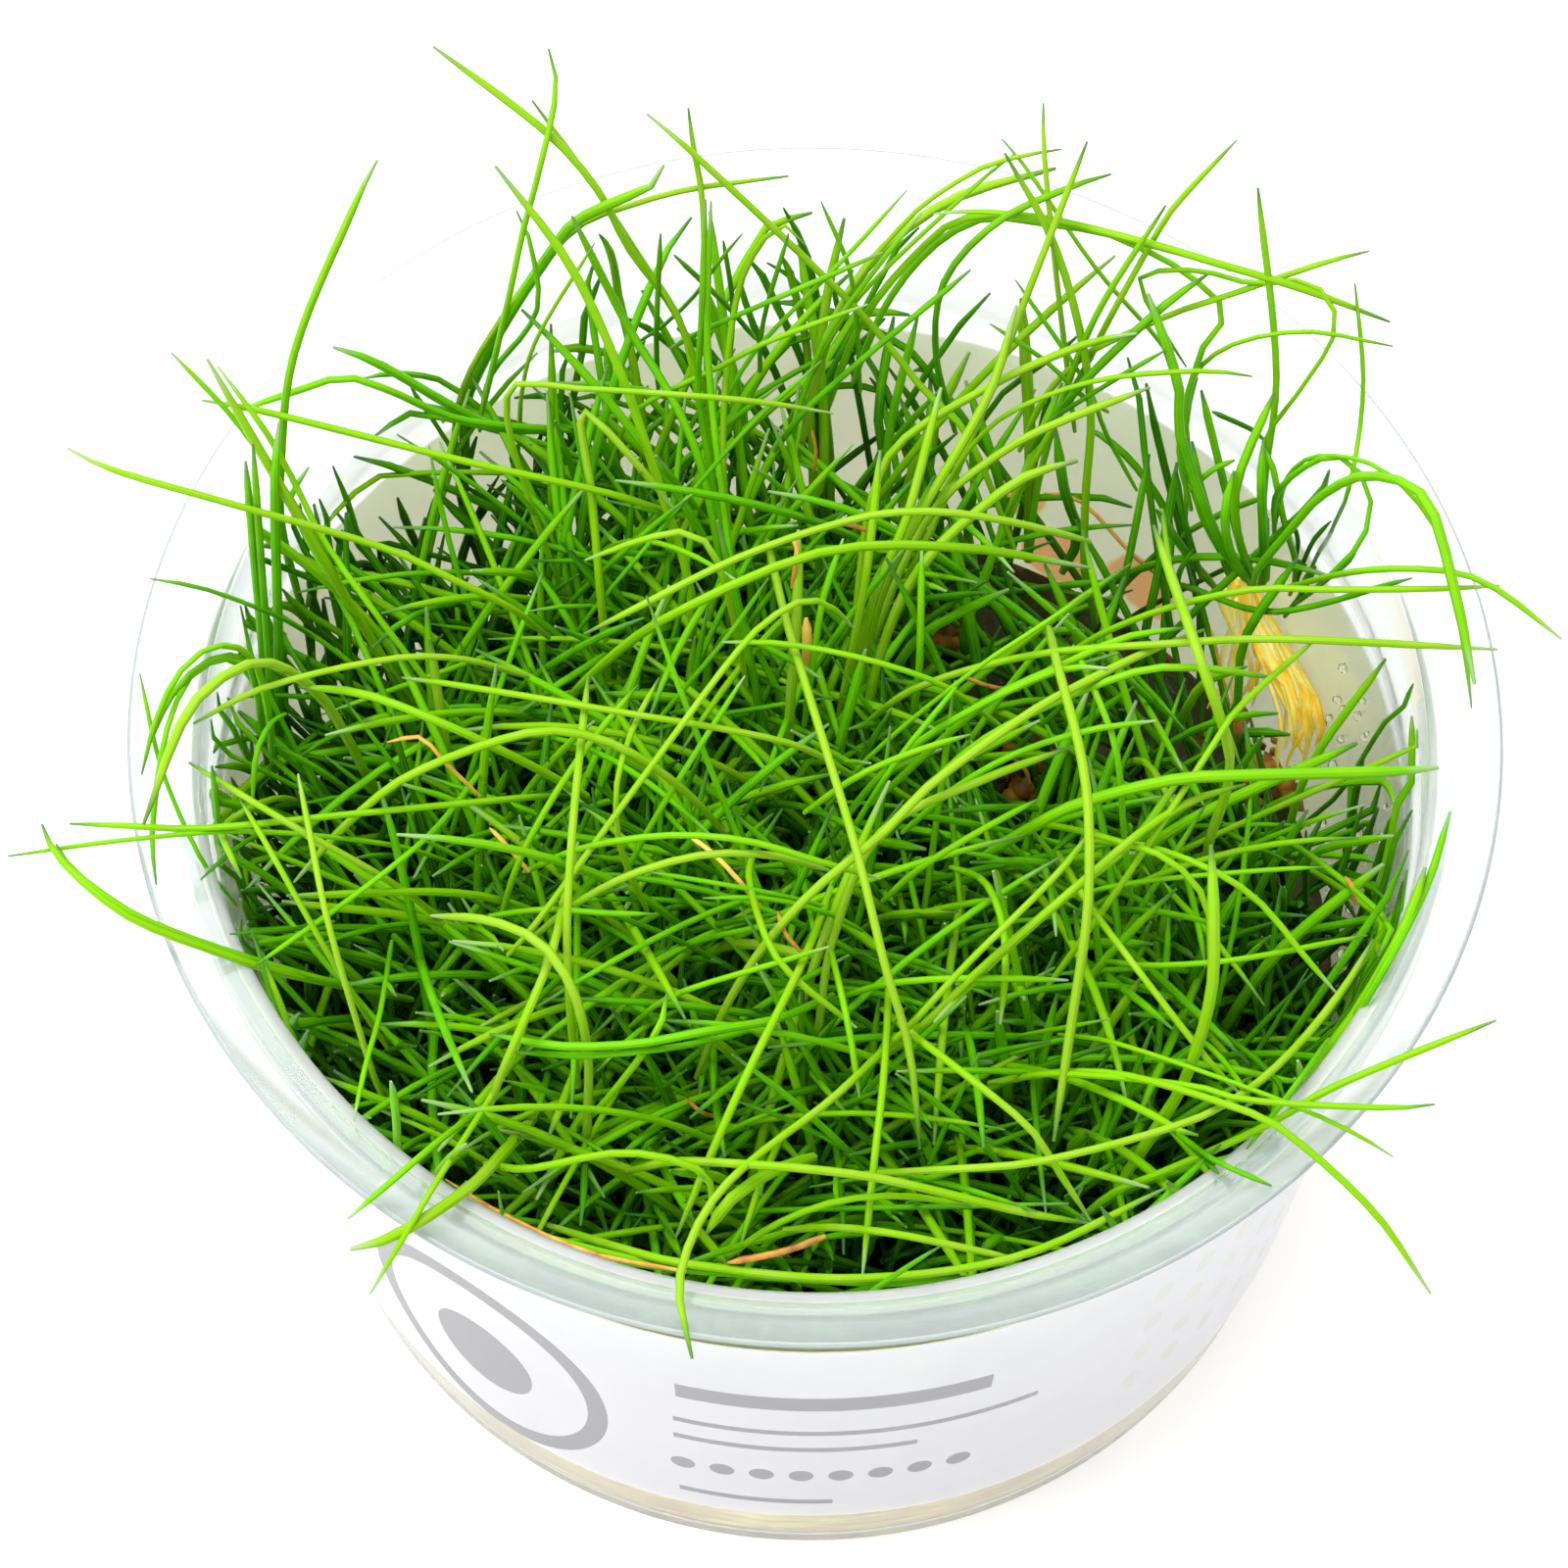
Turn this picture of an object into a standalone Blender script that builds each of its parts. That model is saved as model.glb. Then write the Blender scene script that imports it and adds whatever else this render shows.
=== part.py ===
"""Dwarf hairgrass growing in a clear plastic cup.

The cup stands on its flat base, at the origin, with +Z up. The camera side of the cup is -Y.
Lengths are written in millimetres and turned into metres by MM.
"""
import math
import random

import bmesh
import bpy
from mathutils import Vector

MM = 0.001

# Sizes of the cup
BASE_RADIUS = 36.7
WALL_FOOT_RADIUS = 37.4
WALL_LEAN = 0.14
WALL_THICKNESS = 0.6
FLOOR_THICKNESS = 0.8
SHOULDER_HEIGHT = 50.0
COLLAR_RADIUS = 45.35
COLLAR_TOP = 57.9
FLANGE_RADIUS = 50.0
FLANGE_EDGE_HEIGHT = 60.5
FLANGE_THICKNESS = 0.6
ROUND_STEPS = 60

# Sizes of the label sleeve
LABEL_BOTTOM = 5.0
LABEL_TOP = 45.1
LABEL_THICKNESS = 0.2
TOUCH_GAP = 0.3

# Sizes of the growing gel
GEL_BOTTOM = FLOOR_THICKNESS + TOUCH_GAP
GEL_TOP = 22.0
GEL_CROWN = 0.6
GEL_STEPS = 40

# The plantlets stand in rings, and one more leans high on the wall at the right
RING_RADII = (0.0, 14.0, 27.6)
RING_COUNTS = (1, 6, 12)
MOUND_RADIUS = 6.6
MOUND_HEIGHT = 14.0
MOUND_FULLNESS = 0.3
FAN_PER_MM = 0.009
WALL_CROWN_PLACE = Vector((32.3, 20.6, 45.2))
WALL_CROWN_RADIUS = 2.9
WALL_CROWN_HEIGHT = 2.6
SPIKE_LENGTHS = (3.0, 6.5)

# Sizes of the blades
BLADE_RADIUS = 0.62
TIP_RADIUS = 0.22
TAPER_START = 0.45
BASE_FLARE_LENGTH = 4.0
LONG_STEPS = 7
SHORT_STEPS = 3
CLEARANCE = 0.45
BEAD_SPACING = 0.7
FOOT_BEADS = 4
SHARED_FOOT_BEADS = 6
SWEEP_MARGIN = 2.0
SHORT_BLADES_PER_TUFT = 12
TRIES_PER_BLADE = 60
SEED = 7

# Long blades that reach past the others, each from its root to its tip in millimetres
LONG_BLADES = {
    "tall_left": [(-34, 7, 40), (-39, 11, 58), (-38.5, 22, 68), (-32.5, 34, 82)],
    "back_tall_bent": [(-26, 22, 44), (-24, 31, 62), (-20.5, 37, 76), (-20, 43, 84)],
    "back_arc": [(-27, 25, 44), (-26, 30, 61), (-16, 35.5, 71), (-3, 39, 74)],
    "right_back_arc": [(6, 30, 46), (10, 36, 63), (24, 33, 75), (42, 31, 70)],
    "right_arch": [(35, 18, 50), (38, 18, 66), (43.5, 13, 73), (47.5, 1, 66.5)],
    "rim_front_right": [(27, -25, 44), (29, -30, 55), (22, -36.5, 57), (13, -40, 57.5)],
    "left_long": [(-22, -4, 45), (-40, -11, 62.5), (-58, -13, 64)],
    "left_low": [(-14, 3, 46), (-31, -7, 60), (-54, -9, 63.5)],
    "left_pair_low": [(-29, -11, 42), (-37, -17, 59), (-48, -18, 64), (-55, -11, 64)],
    "left_pair_high": [(-27, -14, 42), (-36, -20, 61), (-47, -19.5, 67), (-54, -13, 67)],
    "left_far": [(-20, 15, 44), (-31, 14.5, 58), (-42, 13, 67), (-54.5, 15.5, 72)],
    "upper_left_low": [(-24, 14, 38), (-32, 18, 48), (-39, 19, 63), (-47, 25, 70)],
    "upper_left_high": [(-25, 10, 32), (-31, 12, 47), (-36, 14, 61), (-43.5, 21, 75)],
    "upper_left_cross": [(-11, 25, 46), (-31, 20.5, 65), (-45, 22, 70)],
    "dark_left": [(-32, 12, 40), (-36, 9.5, 54), (-41, 8.5, 63), (-49, 8, 66)],
    "back_left_low": [(-22, 28, 44), (-29, 27, 60), (-36, 28, 66)],
    "back_left_arch": [(-18, 28, 44), (-26, 26, 62), (-34, 24.5, 68.5), (-43, 26, 65)],
    "left_edge": [(-34, -5, 40), (-40, -8.5, 58), (-45, -7, 63.5), (-49, -1, 68)],
    "left_arch_near": [(-35, 4, 42), (-40, 3, 61), (-45, 0, 68), (-49, -5, 64)],
    "left_arch_far": [(-33, 3, 42), (-38, 1, 63), (-44, -3, 71.5), (-49, -12, 65)],
    "left_upright": [(-35, 9, 40), (-38.5, 14, 58), (-41, 17, 73)],
    "back_tall_left": [(-4, 24, 42), (-10, 30, 62), (-16, 35, 74), (-29, 42, 84)],
    "back_cross": [(5, 28, 46), (1.5, 33, 63), (-6, 36.5, 74), (-13, 39.5, 80)],
    "back_upright": [(-8, 26, 46), (-8.5, 33, 62), (-9, 37, 73), (-10, 41, 80)],
    "back_thick": [(-23, 22, 42), (-22, 27, 58), (-19, 32, 69), (-12, 38, 76)],
    "back_right_straight": [(17, 25, 42), (17, 33, 60), (17, 36, 71), (16, 41, 80)],
    "back_right_lean": [(7, 24, 42), (12, 29, 60), (16, 32, 72), (20, 38, 81)],
    "back_right_arc": [(8, 28, 48), (8, 32, 62), (13, 36, 71), (21, 39, 75)],
    "back_right_tall": [(12, 24, 44), (18, 27, 60), (23, 31, 71), (30, 37, 82)],
    "back_mid_arc": [(-2, 30, 46), (1, 35, 60), (7, 38.5, 69), (17, 41, 72)],
    "right_tall": [(31, 20, 46), (33.5, 25, 60), (33.5, 29, 70), (31, 34.5, 80)],
    "right_back_low": [(20, 28, 48), (25, 31, 61), (31, 33, 68), (40, 35, 71)],
    "right_long": [(34, 15, 46), (38, 14, 61), (46, 10, 68), (54, 5, 66)],
    "right_straight": [(22, 15, 44), (32, 11, 60), (41, 8.5, 66), (50, 9, 66)],
    "right_cross": [(10, 8, 44), (26, 4, 63), (38, 4, 66), (49.5, 5, 63.5)],
    "right_low": [(16, 3, 46), (33, -3.5, 60.5), (45, -3, 63)],
    "right_rim": [(34, -16, 42), (39.5, -14, 55), (45, -8, 63)],
    "front_right_up": [(22, -28, 44), (31, -30, 58), (40, -29, 66), (48, -27, 69)],
    "front_right_side": [(22, -18, 46), (33, -26, 61), (44, -31, 64)],
    "front_right_long": [(22, -24, 48), (30, -31, 61), (38, -38, 62.5), (44, -44, 58)],
    "front_droop": [(-4, -32, 44), (-6, -40, 60), (-8.5, -46, 63.5), (-8, -51.5, 59.5)],
    "front_left_hang": [(-19, -15, 44), (-23, -30, 59), (-27, -39, 63), (-31, -47, 60.5)],
    "front_left_blunt": [(-20, -26, 46), (-26, -35, 60), (-32, -43.5, 63)],
    "front_left_short": [(-28, -5, 38), (-31, -22, 56), (-33, -33, 62)],
    "front_wide": [(23, -27, 42), (28, -25, 60), (28, -17, 74)],
    "centre_forward": [(18, 14, 46), (18, 2, 65), (19.5, -14, 70), (17.5, -31, 57)],
    "centre_fall": [(-2, 12, 44), (-1, 4, 64), (3, -15, 68), (8, -29, 53)],
    "rim_front": [(-21, -29, 42), (-15, -38, 54), (-4, -42, 56), (7, -42, 56.5)],
    "back_dark_left": [(-5, 26, 44), (-7, 34, 57), (-8.5, 40.5, 66)],
    "back_dark_middle": [(-1, 29, 44), (-1, 36, 56), (0.5, 41, 64)],
    "right_back_flat": [(24, 18, 48), (30, 24, 60), (36, 27.5, 67), (43, 28, 67)],
    "front_right_short": [(22, -17, 44), (32, -27, 61.5), (41, -35, 62.5)],
    "back_left_fan": [(-9, 17, 46), (-13, 25, 62), (-18, 32, 73), (-24, 37, 80)],
    "back_right_fan": [(20, 26, 44), (20, 31, 58), (17, 36, 70), (13, 39, 78)],
    "middle_left_low": [(-21, 11, 46), (-31, 2, 66), (-40, -1, 66), (-45, -2, 63)],
    "middle_top_arc": [(-18, 11, 48), (-10, 8, 66), (3, 13, 67.5), (20, 17, 58)],
    "middle_back_kink": [(-18, 17, 44), (-22.5, 22.5, 64), (-13.5, 24, 67), (1, 25.5, 62)],
    "middle_right_rise": [(-6, -18, 50), (1.5, -14.5, 65), (12, -6, 68), (28, 6.5, 64)],
    "middle_left_hook": [(-16, -28, 46), (-17, -23.5, 64), (-23, -19, 65), (-27.5, -16, 60)],
    "middle_back_right": [(4, 15, 46), (9, 19.5, 60), (16, 22, 66), (24, 25, 67)],
    "middle_right_flat": [(10, -5, 46), (16, -2, 61), (24, 1.5, 67), (33, 4, 62)],
    "left_rim_up": [(-30.5, -25.5, 48), (-33.5, -22.5, 64), (-36, -13.5, 66), (-37, -7, 64)],
    "right_front_up": [(12, -25, 44), (15, -26, 60), (19.5, -15.5, 67), (20, -10.5, 64)],
    "right_side_up": [(30, -5, 50), (31, -3, 60), (28.5, 1, 66), (25.5, 15.5, 60)],
}

# Long blades of the plantlet that leans on the wall
WALL_BLADES = ("right_tall", "right_long", "right_arch")

# How far a long blade may be nudged up and aside to keep clear of the others
NUDGE_LIFTS = (0.6, 1.4, 2.4, 3.6)
NUDGE_SIDES = (1.0, 2.2)
BUD_CHOICES = 4

# Height classes of the short blades, and how far they lean for their height
SHORT_HEIGHTS = ((8, 14), (10, 20), (16, 26))
SHORT_LEANS = (0.2, 1.1)
SHORT_SIDE_SWAY = 3.0

# Room in the cup's mouth that the shorter blades stay below, from corner to corner, and how near they come
MOUTH_ROOM = ((-16.8, -9.8, 53.7), (4.8, 2.8, 60.5))
MOUTH_MARGIN = 0.9

# Roots that hang from the plantlet on the wall, each as sideways shift, lean and length
ROOT_STRANDS = (
    (-2.0, 0.5, 18.0),
    (-1.0, -0.6, 19.4),
    (0.2, 0.4, 17.0),
    (1.2, -0.3, 19.0),
    (2.2, 0.6, 15.0),
)
ROOT_TOP = 43.4
ROOT_KNOT_SIZE = (1.8, 6.4, 1.6)
ROOT_RADIUS = 0.5
ROOT_STEPS = 5


def clear_scene():
    """Removes every object that the new file starts with."""
    for old in list(bpy.data.objects):
        bpy.data.objects.remove(old, do_unlink=True)


def make_material(name, colour, roughness, metallic=0.0, transmission=0.0, ior=1.45):
    """Returns a material with one Principled shader."""
    material = bpy.data.materials.new(name)
    material.use_nodes = True
    shader = material.node_tree.nodes["Principled BSDF"]
    shader.inputs["Base Color"].default_value = (*colour, 1.0)
    shader.inputs["Roughness"].default_value = roughness
    shader.inputs["Metallic"].default_value = metallic
    shader.inputs["Transmission Weight"].default_value = transmission
    shader.inputs["IOR"].default_value = ior
    return material


def add_object(name, bm, material, smooth=True):
    """Makes an object from a bmesh whose lengths are millimetres."""
    bmesh.ops.scale(bm, vec=(MM, MM, MM), verts=bm.verts)
    mesh = bpy.data.meshes.new(name)
    bm.to_mesh(mesh)
    bm.free()
    if smooth:
        mesh.shade_smooth()
        mesh.set_sharp_from_angle(angle=math.radians(35.0))
    mesh.materials.append(material)
    made = bpy.data.objects.new(name, mesh)
    bpy.context.scene.collection.objects.link(made)
    return made


def turned(profile, steps):
    """Turns a profile of (radius, height) points around the upright axis into a closed solid."""
    bm = bmesh.new()
    points = [bm.verts.new((radius, 0.0, height)) for radius, height in profile]
    edges = [bm.edges.new(pair) for pair in zip(points, points[1:])]
    if profile[0][0] > 0.0:
        edges.append(bm.edges.new((points[-1], points[0])))
    bmesh.ops.spin(bm, geom=points + edges, cent=(0, 0, 0), axis=(0, 0, 1),
                   angle=2.0 * math.pi, steps=steps, use_merge=True)
    bmesh.ops.remove_doubles(bm, verts=bm.verts, dist=0.0001)
    bmesh.ops.recalc_face_normals(bm, faces=bm.faces)
    bmesh.ops.triangulate(bm, faces=bm.faces)
    return bm


def wall_radius(height):
    """Radius of the outside of the cup's tapered wall."""
    return WALL_FOOT_RADIUS + WALL_LEAN * height


def inner_radius(height):
    """Radius of the inside of the cup at a height, up to the rim."""
    if height > SHOULDER_HEIGHT + 1.0:
        return COLLAR_RADIUS - WALL_THICKNESS
    return wall_radius(height) - WALL_THICKNESS


def make_cup(material):
    """The clear cup: flat floor, tapered wall, shoulder, collar and a wide flange that rises outwards."""
    collar_foot = SHOULDER_HEIGHT + 1.2
    inner_collar = COLLAR_RADIUS - WALL_THICKNESS
    shoulder_radius = wall_radius(SHOULDER_HEIGHT)
    edge_low = FLANGE_EDGE_HEIGHT - FLANGE_THICKNESS
    profile = [
        (0.0, 0.0),
        (BASE_RADIUS, 0.0),
        (BASE_RADIUS + 0.7, 0.3),
        (wall_radius(1.1), 1.1),
        (shoulder_radius, SHOULDER_HEIGHT),
        (COLLAR_RADIUS - 0.35, collar_foot),
        (COLLAR_RADIUS, COLLAR_TOP - 0.3),
        (COLLAR_RADIUS + 0.7, COLLAR_TOP + 0.2),
        (FLANGE_RADIUS - 0.3, edge_low),
        (FLANGE_RADIUS, FLANGE_EDGE_HEIGHT - 0.25),
        (FLANGE_RADIUS - 0.2, FLANGE_EDGE_HEIGHT),
        (COLLAR_RADIUS + 1.5, COLLAR_TOP + 0.9),
        (COLLAR_RADIUS + 0.5, COLLAR_TOP + 0.95),
        (inner_collar, COLLAR_TOP + 0.4),
        (inner_collar - 0.35, collar_foot),
        (shoulder_radius - WALL_THICKNESS, SHOULDER_HEIGHT),
        (wall_radius(1.7) - WALL_THICKNESS, 1.7),
        (BASE_RADIUS - 0.5, FLOOR_THICKNESS),
        (0.0, FLOOR_THICKNESS),
    ]
    return add_object("cup", turned(profile, ROUND_STEPS), material)


def make_label(material):
    """The printed sleeve around the outside of the wall."""
    inside = [(wall_radius(z) + TOUCH_GAP, z) for z in (LABEL_BOTTOM, LABEL_TOP)]
    outside = [(radius + LABEL_THICKNESS, z) for radius, z in reversed(inside)]
    return add_object("label", turned(inside + outside, ROUND_STEPS), material)


def make_gel(material):
    """The disc of growing gel in the bottom of the cup, a little higher at its middle."""
    foot = BASE_RADIUS - 1.2
    side_low = inner_radius(2.6) - TOUCH_GAP
    side_high = inner_radius(GEL_TOP) - TOUCH_GAP
    profile = [
        (0.0, GEL_BOTTOM),
        (foot, GEL_BOTTOM),
        (side_low, 2.6),
        (side_high, GEL_TOP - 0.4),
        (side_high - 1.0, GEL_TOP),
        (0.0, GEL_TOP + GEL_CROWN),
    ]
    return add_object("growing_gel", turned(profile, GEL_STEPS), material)


def fanned(place, foot):
    """Spreads a place away from the cup's middle, the more the higher it stands above a foot."""
    spread = 1.0 + FAN_PER_MM * (place.z - foot)
    return Vector((place.x * spread, place.y * spread, place.z))


def crown_places():
    """Centres of the plantlets on the gel, ring by ring."""
    rng = random.Random(SEED)
    places = []
    for ring, (radius, count) in enumerate(zip(RING_RADII, RING_COUNTS)):
        for step in range(count):
            angle = 2.0 * math.pi * (step + 0.5 * ring) / count
            x = radius * math.cos(angle) + rng.uniform(-0.35, 0.35)
            y = radius * math.sin(angle) + rng.uniform(-0.35, 0.35)
            places.append(Vector((x, y, GEL_TOP + GEL_CROWN + TOUCH_GAP)))
    return places


def smooth_route(points, steps):
    """Points at equal steps along a smooth curve through the given ones."""
    times = [0.0]
    for a, b in zip(points, points[1:]):
        times.append(times[-1] + max((b - a).length, 1e-6))
    last = len(points) - 1
    slopes = []
    for i in range(len(points)):
        low = max(i - 1, 0)
        high = min(i + 1, last)
        slopes.append((points[high] - points[low]) / (times[high] - times[low]))
    route = []
    for step in range(steps + 1):
        time = times[-1] * step / steps
        i = min(max(k for k in range(len(points)) if times[k] <= time + 1e-9), last - 1)
        span = times[i + 1] - times[i]
        u = (time - times[i]) / span
        h00 = 2 * u ** 3 - 3 * u ** 2 + 1
        h10 = u ** 3 - 2 * u ** 2 + u
        h01 = -2 * u ** 3 + 3 * u ** 2
        h11 = u ** 3 - u ** 2
        route.append(points[i] * h00 + slopes[i] * (h10 * span)
                     + points[i + 1] * h01 + slopes[i + 1] * (h11 * span))
    return route


def blade_radius(share):
    """Radius of a blade at a share of its length: an even run, then a slow taper to the tip."""
    taper = max(0.0, share - TAPER_START) / (1.0 - TAPER_START)
    return BLADE_RADIUS + (TIP_RADIUS - BLADE_RADIUS) * taper


def bead_box(beads):
    """Lowest and highest corner of a blade's beads."""
    low = Vector([min(place[k] for place, _ in beads) for k in range(3)])
    high = Vector([max(place[k] for place, _ in beads) for k in range(3)])
    return low, high


class Thicket:
    """Remembers where every blade runs, so that no two of them touch."""

    def __init__(self, crowns):
        self.spots = []
        self.crowns = crowns

    def beads(self, route):
        """Closely spaced (place, radius) beads along a blade's straight stretches."""
        found = []
        steps = len(route) - 1
        for i, (a, b) in enumerate(zip(route, route[1:])):
            count = max(2, int((b - a).length / BEAD_SPACING))
            for k in range(count):
                share = (i + k / count) / steps
                found.append((a.lerp(b, k / count), blade_radius(share)))
        found.append((route[-1], TIP_RADIUS))
        return found

    def is_clear(self, route, crown):
        """Tells whether a blade stays clear of the cup, the crowns and the other blades."""
        beads = self.beads(route)
        for place, radius in beads[FOOT_BEADS:]:
            if not clear_of_cup(place, radius + CLEARANCE):
                return False
            for other in self.crowns:
                if other is crown:
                    continue
                if other.holds(place, radius + CLEARANCE):
                    return False
        low, high = bead_box(beads)
        for other_crown, other_low, other_high, other_beads in self.spots:
            if any(low[k] > other_high[k] + SWEEP_MARGIN or high[k] < other_low[k] - SWEEP_MARGIN
                   for k in range(3)):
                continue
            skip = SHARED_FOOT_BEADS if other_crown is crown else 0
            for place, radius in beads[skip:]:
                for other, other_radius in other_beads[skip:]:
                    reach = radius + other_radius + CLEARANCE
                    if (place - other).length_squared < reach * reach:
                        return False
        return True

    def keep(self, route, crown):
        """Adds a blade that is clear."""
        beads = self.beads(route)
        self.spots.append((crown, *bead_box(beads), beads))


def clear_of_cup(place, room):
    """Tells whether a place keeps its room from the gel, the wall and the flange."""
    across = math.hypot(place.x, place.y)
    if across < FLANGE_RADIUS + room and place.z < COLLAR_TOP + 0.9 + room:
        if place.z < GEL_TOP + GEL_CROWN + room:
            return False
        return across < inner_radius(place.z) - room
    if across < COLLAR_RADIUS - WALL_THICKNESS - room:
        return True
    rise = (FLANGE_EDGE_HEIGHT - COLLAR_TOP - 0.9) / (FLANGE_RADIUS - COLLAR_RADIUS)
    top = COLLAR_TOP + 0.95 + rise * max(0.0, across - COLLAR_RADIUS)
    return across > FLANGE_RADIUS + room or place.z > top + room


def in_mouth_room(beads):
    """Tells whether a blade comes up into the room that is kept in the cup's mouth."""
    low, high = MOUTH_ROOM
    for place, _ in beads:
        if all(low[k] - MOUTH_MARGIN < place[k] < high[k] + MOUTH_MARGIN for k in range(3)):
            return True
    return False


class Crown:
    """One plantlet: a dense mound of short growth whose upper faces are drawn out into blades."""

    def __init__(self, name, place, radius, height, seed, fans=True):
        self.name = name
        self.place = place
        self.radius = radius
        self.height = height
        self.fans = fans
        self.rng = random.Random(seed)
        self.bm = bmesh.new()
        self.taken = set()
        self.routes = []
        self.spikes = []
        self.shape_mound()

    def holds(self, place, room):
        """Tells whether a place is within some room of the mound."""
        rise = (place.z - self.place.z - 0.5 * room) / (self.height * 1.1)
        if rise >= 1.0 or place.z < self.place.z - room:
            return False
        spread = 1.0 + FAN_PER_MM * max(0.0, place.z - self.place.z) if self.fans else 1.0
        reach = self.radius * (1.0 - max(0.0, rise) ** 2) ** MOUND_FULLNESS * spread + room
        return math.hypot(place.x - self.place.x * spread, place.y - self.place.y * spread) < reach

    def shape_mound(self):
        """Half a ball, filled out at its shoulders, roughened at its top and fanned outwards."""
        made = bmesh.ops.create_icosphere(self.bm, subdivisions=2, radius=1.0)
        tilt = Vector((0, 0, 1)).rotation_difference(Vector((0.2, 0.1, 1)))
        bmesh.ops.rotate(self.bm, verts=made["verts"], cent=(0, 0, 0), matrix=tilt.to_matrix())
        whole = list(self.bm.verts) + list(self.bm.edges) + list(self.bm.faces)
        bmesh.ops.bisect_plane(self.bm, geom=whole, dist=0.001, plane_co=(0, 0, 0),
                               plane_no=(0, 0, -1), clear_outer=True)
        bmesh.ops.holes_fill(self.bm, edges=[e for e in self.bm.edges if e.is_boundary], sides=0)
        bmesh.ops.dissolve_degenerate(self.bm, dist=0.14, edges=self.bm.edges)
        for vert in self.bm.verts:
            rise = max(0.0, min(1.0, vert.co.z))
            across = math.hypot(vert.co.x, vert.co.y)
            reach = self.radius * (1.0 - rise ** 2) ** MOUND_FULLNESS
            if rise > 0.05:
                reach *= self.rng.uniform(0.86, 1.0)
                rise *= self.rng.uniform(0.78, 1.06)
            scale = reach / across if across > 0.001 else 0.0
            vert.co = Vector((vert.co.x * scale, vert.co.y * scale, self.height * rise)) + self.place
            if self.fans:
                vert.co = fanned(vert.co, self.place.z)
        bmesh.ops.triangulate(self.bm, faces=self.bm.faces)
        bmesh.ops.recalc_face_normals(self.bm, faces=self.bm.faces)
        self.bm.faces.ensure_lookup_table()
        self.buds = [(f.calc_center_median(), f.normal.copy()) for f in self.bm.faces]
        middle = self.place + Vector((0, 0, 0.3 * self.height))
        self.middle = fanned(middle, self.place.z) if self.fans else middle

    def bud_for(self, heading):
        """The free upper face that looks most along a heading."""
        best = None
        for i, (centre, normal) in enumerate(self.buds):
            if i in self.taken or normal.z < 0.2:
                continue
            score = (centre - self.middle).normalized().dot(heading) + 0.3 * normal.z
            if best is None or score > best[0]:
                best = (score, i)
        return None if best is None else best[1]

    def route_from(self, bud, points, steps):
        """A blade's stations: out of its face, then smoothly through the given points."""
        centre, normal = self.buds[bud]
        flare = min(BASE_FLARE_LENGTH, 0.9 * self.radius)
        start = centre + (normal * 0.7 + Vector((0, 0, 1.0))).normalized() * flare
        return [centre] + smooth_route([start] + points, steps - 1)

    def raise_spikes(self, thicket):
        """Draws the faces that are still free into short spikes."""
        for i, (centre, normal) in enumerate(self.buds):
            if i in self.taken or normal.z < 0.3:
                continue
            rise = (normal * 0.4 + Vector((0, 0, 1.0))).normalized()
            tip = centre + rise * self.rng.uniform(*SPIKE_LENGTHS)
            if thicket.is_clear([centre, tip], self):
                self.taken.add(i)
                self.spikes.append((i, tip))
                thicket.keep([centre, tip], self)

    def grow(self, bud, route):
        """Takes a face for a blade and remembers its route."""
        self.taken.add(bud)
        self.routes.append((bud, route))

    def build(self, material):
        """Draws the blades out of their faces and makes the plantlet's object."""
        faces = {i: f for i, f in enumerate(self.bm.faces)}
        for bud, route in self.routes:
            self.draw_blade(faces[bud], route)
        for bud, tip in self.spikes:
            poked = bmesh.ops.poke(self.bm, faces=[faces[bud]], center_mode="MEAN")
            poked["verts"][0].co = tip
        bmesh.ops.triangulate(self.bm, faces=self.bm.faces)
        return add_object(self.name, self.bm, material, smooth=False)

    def draw_blade(self, face, route):
        """Extrudes one face along a route, narrowing to a point at its tip."""
        centre = face.calc_center_median()
        heading = face.normal.copy()
        corners = list(face.verts)
        rays = [(vert.co - centre).normalized() for vert in corners]
        steps = len(route) - 1
        for i in range(1, steps + 1):
            made = bmesh.ops.extrude_discrete_faces(self.bm, faces=[face])
            face = made["faces"][0]
            ahead = route[min(i + 1, steps)] - route[i - 1]
            turn = heading.rotation_difference(ahead.normalized())
            heading = ahead.normalized()
            rays = [turn @ ray for ray in rays]
            if i == steps:
                bmesh.ops.pointmerge(self.bm, verts=list(face.verts), merge_co=route[i])
                return
            radius = blade_radius(i / steps)
            for vert, ray in zip(face.verts, rays):
                vert.co = route[i] + ray * radius


def nearest_crown(crowns, x, y):
    """The crown on the gel that stands nearest to a point."""
    return min(crowns, key=lambda crown: math.hypot(crown.place.x - x, crown.place.y - y))


def grow_long_blades(crowns, wall_crown, thicket):
    """Grows each long blade from the plantlet that stands nearest to its root."""
    for name, listed in LONG_BLADES.items():
        points = [Vector(point) for point in listed]
        crown = nearest_crown(crowns, points[0].x, points[0].y)
        if name in WALL_BLADES:
            crown = wall_crown
            points = points[1:]
        bud, route = clear_route(crown, points, thicket)
        if route is None:
            print("no room for the long blade", name)
            continue
        crown.grow(bud, route)
        thicket.keep(route, crown)


def nudges():
    """Small shifts to try, the smallest first."""
    found = [Vector((0, 0, 0))]
    for lift in NUDGE_LIFTS:
        for side in NUDGE_SIDES:
            found += [Vector((0, 0, lift)), Vector((side, 0, lift)), Vector((-side, 0, lift)),
                      Vector((0, side, lift)), Vector((0, -side, lift))]
    return found


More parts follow.
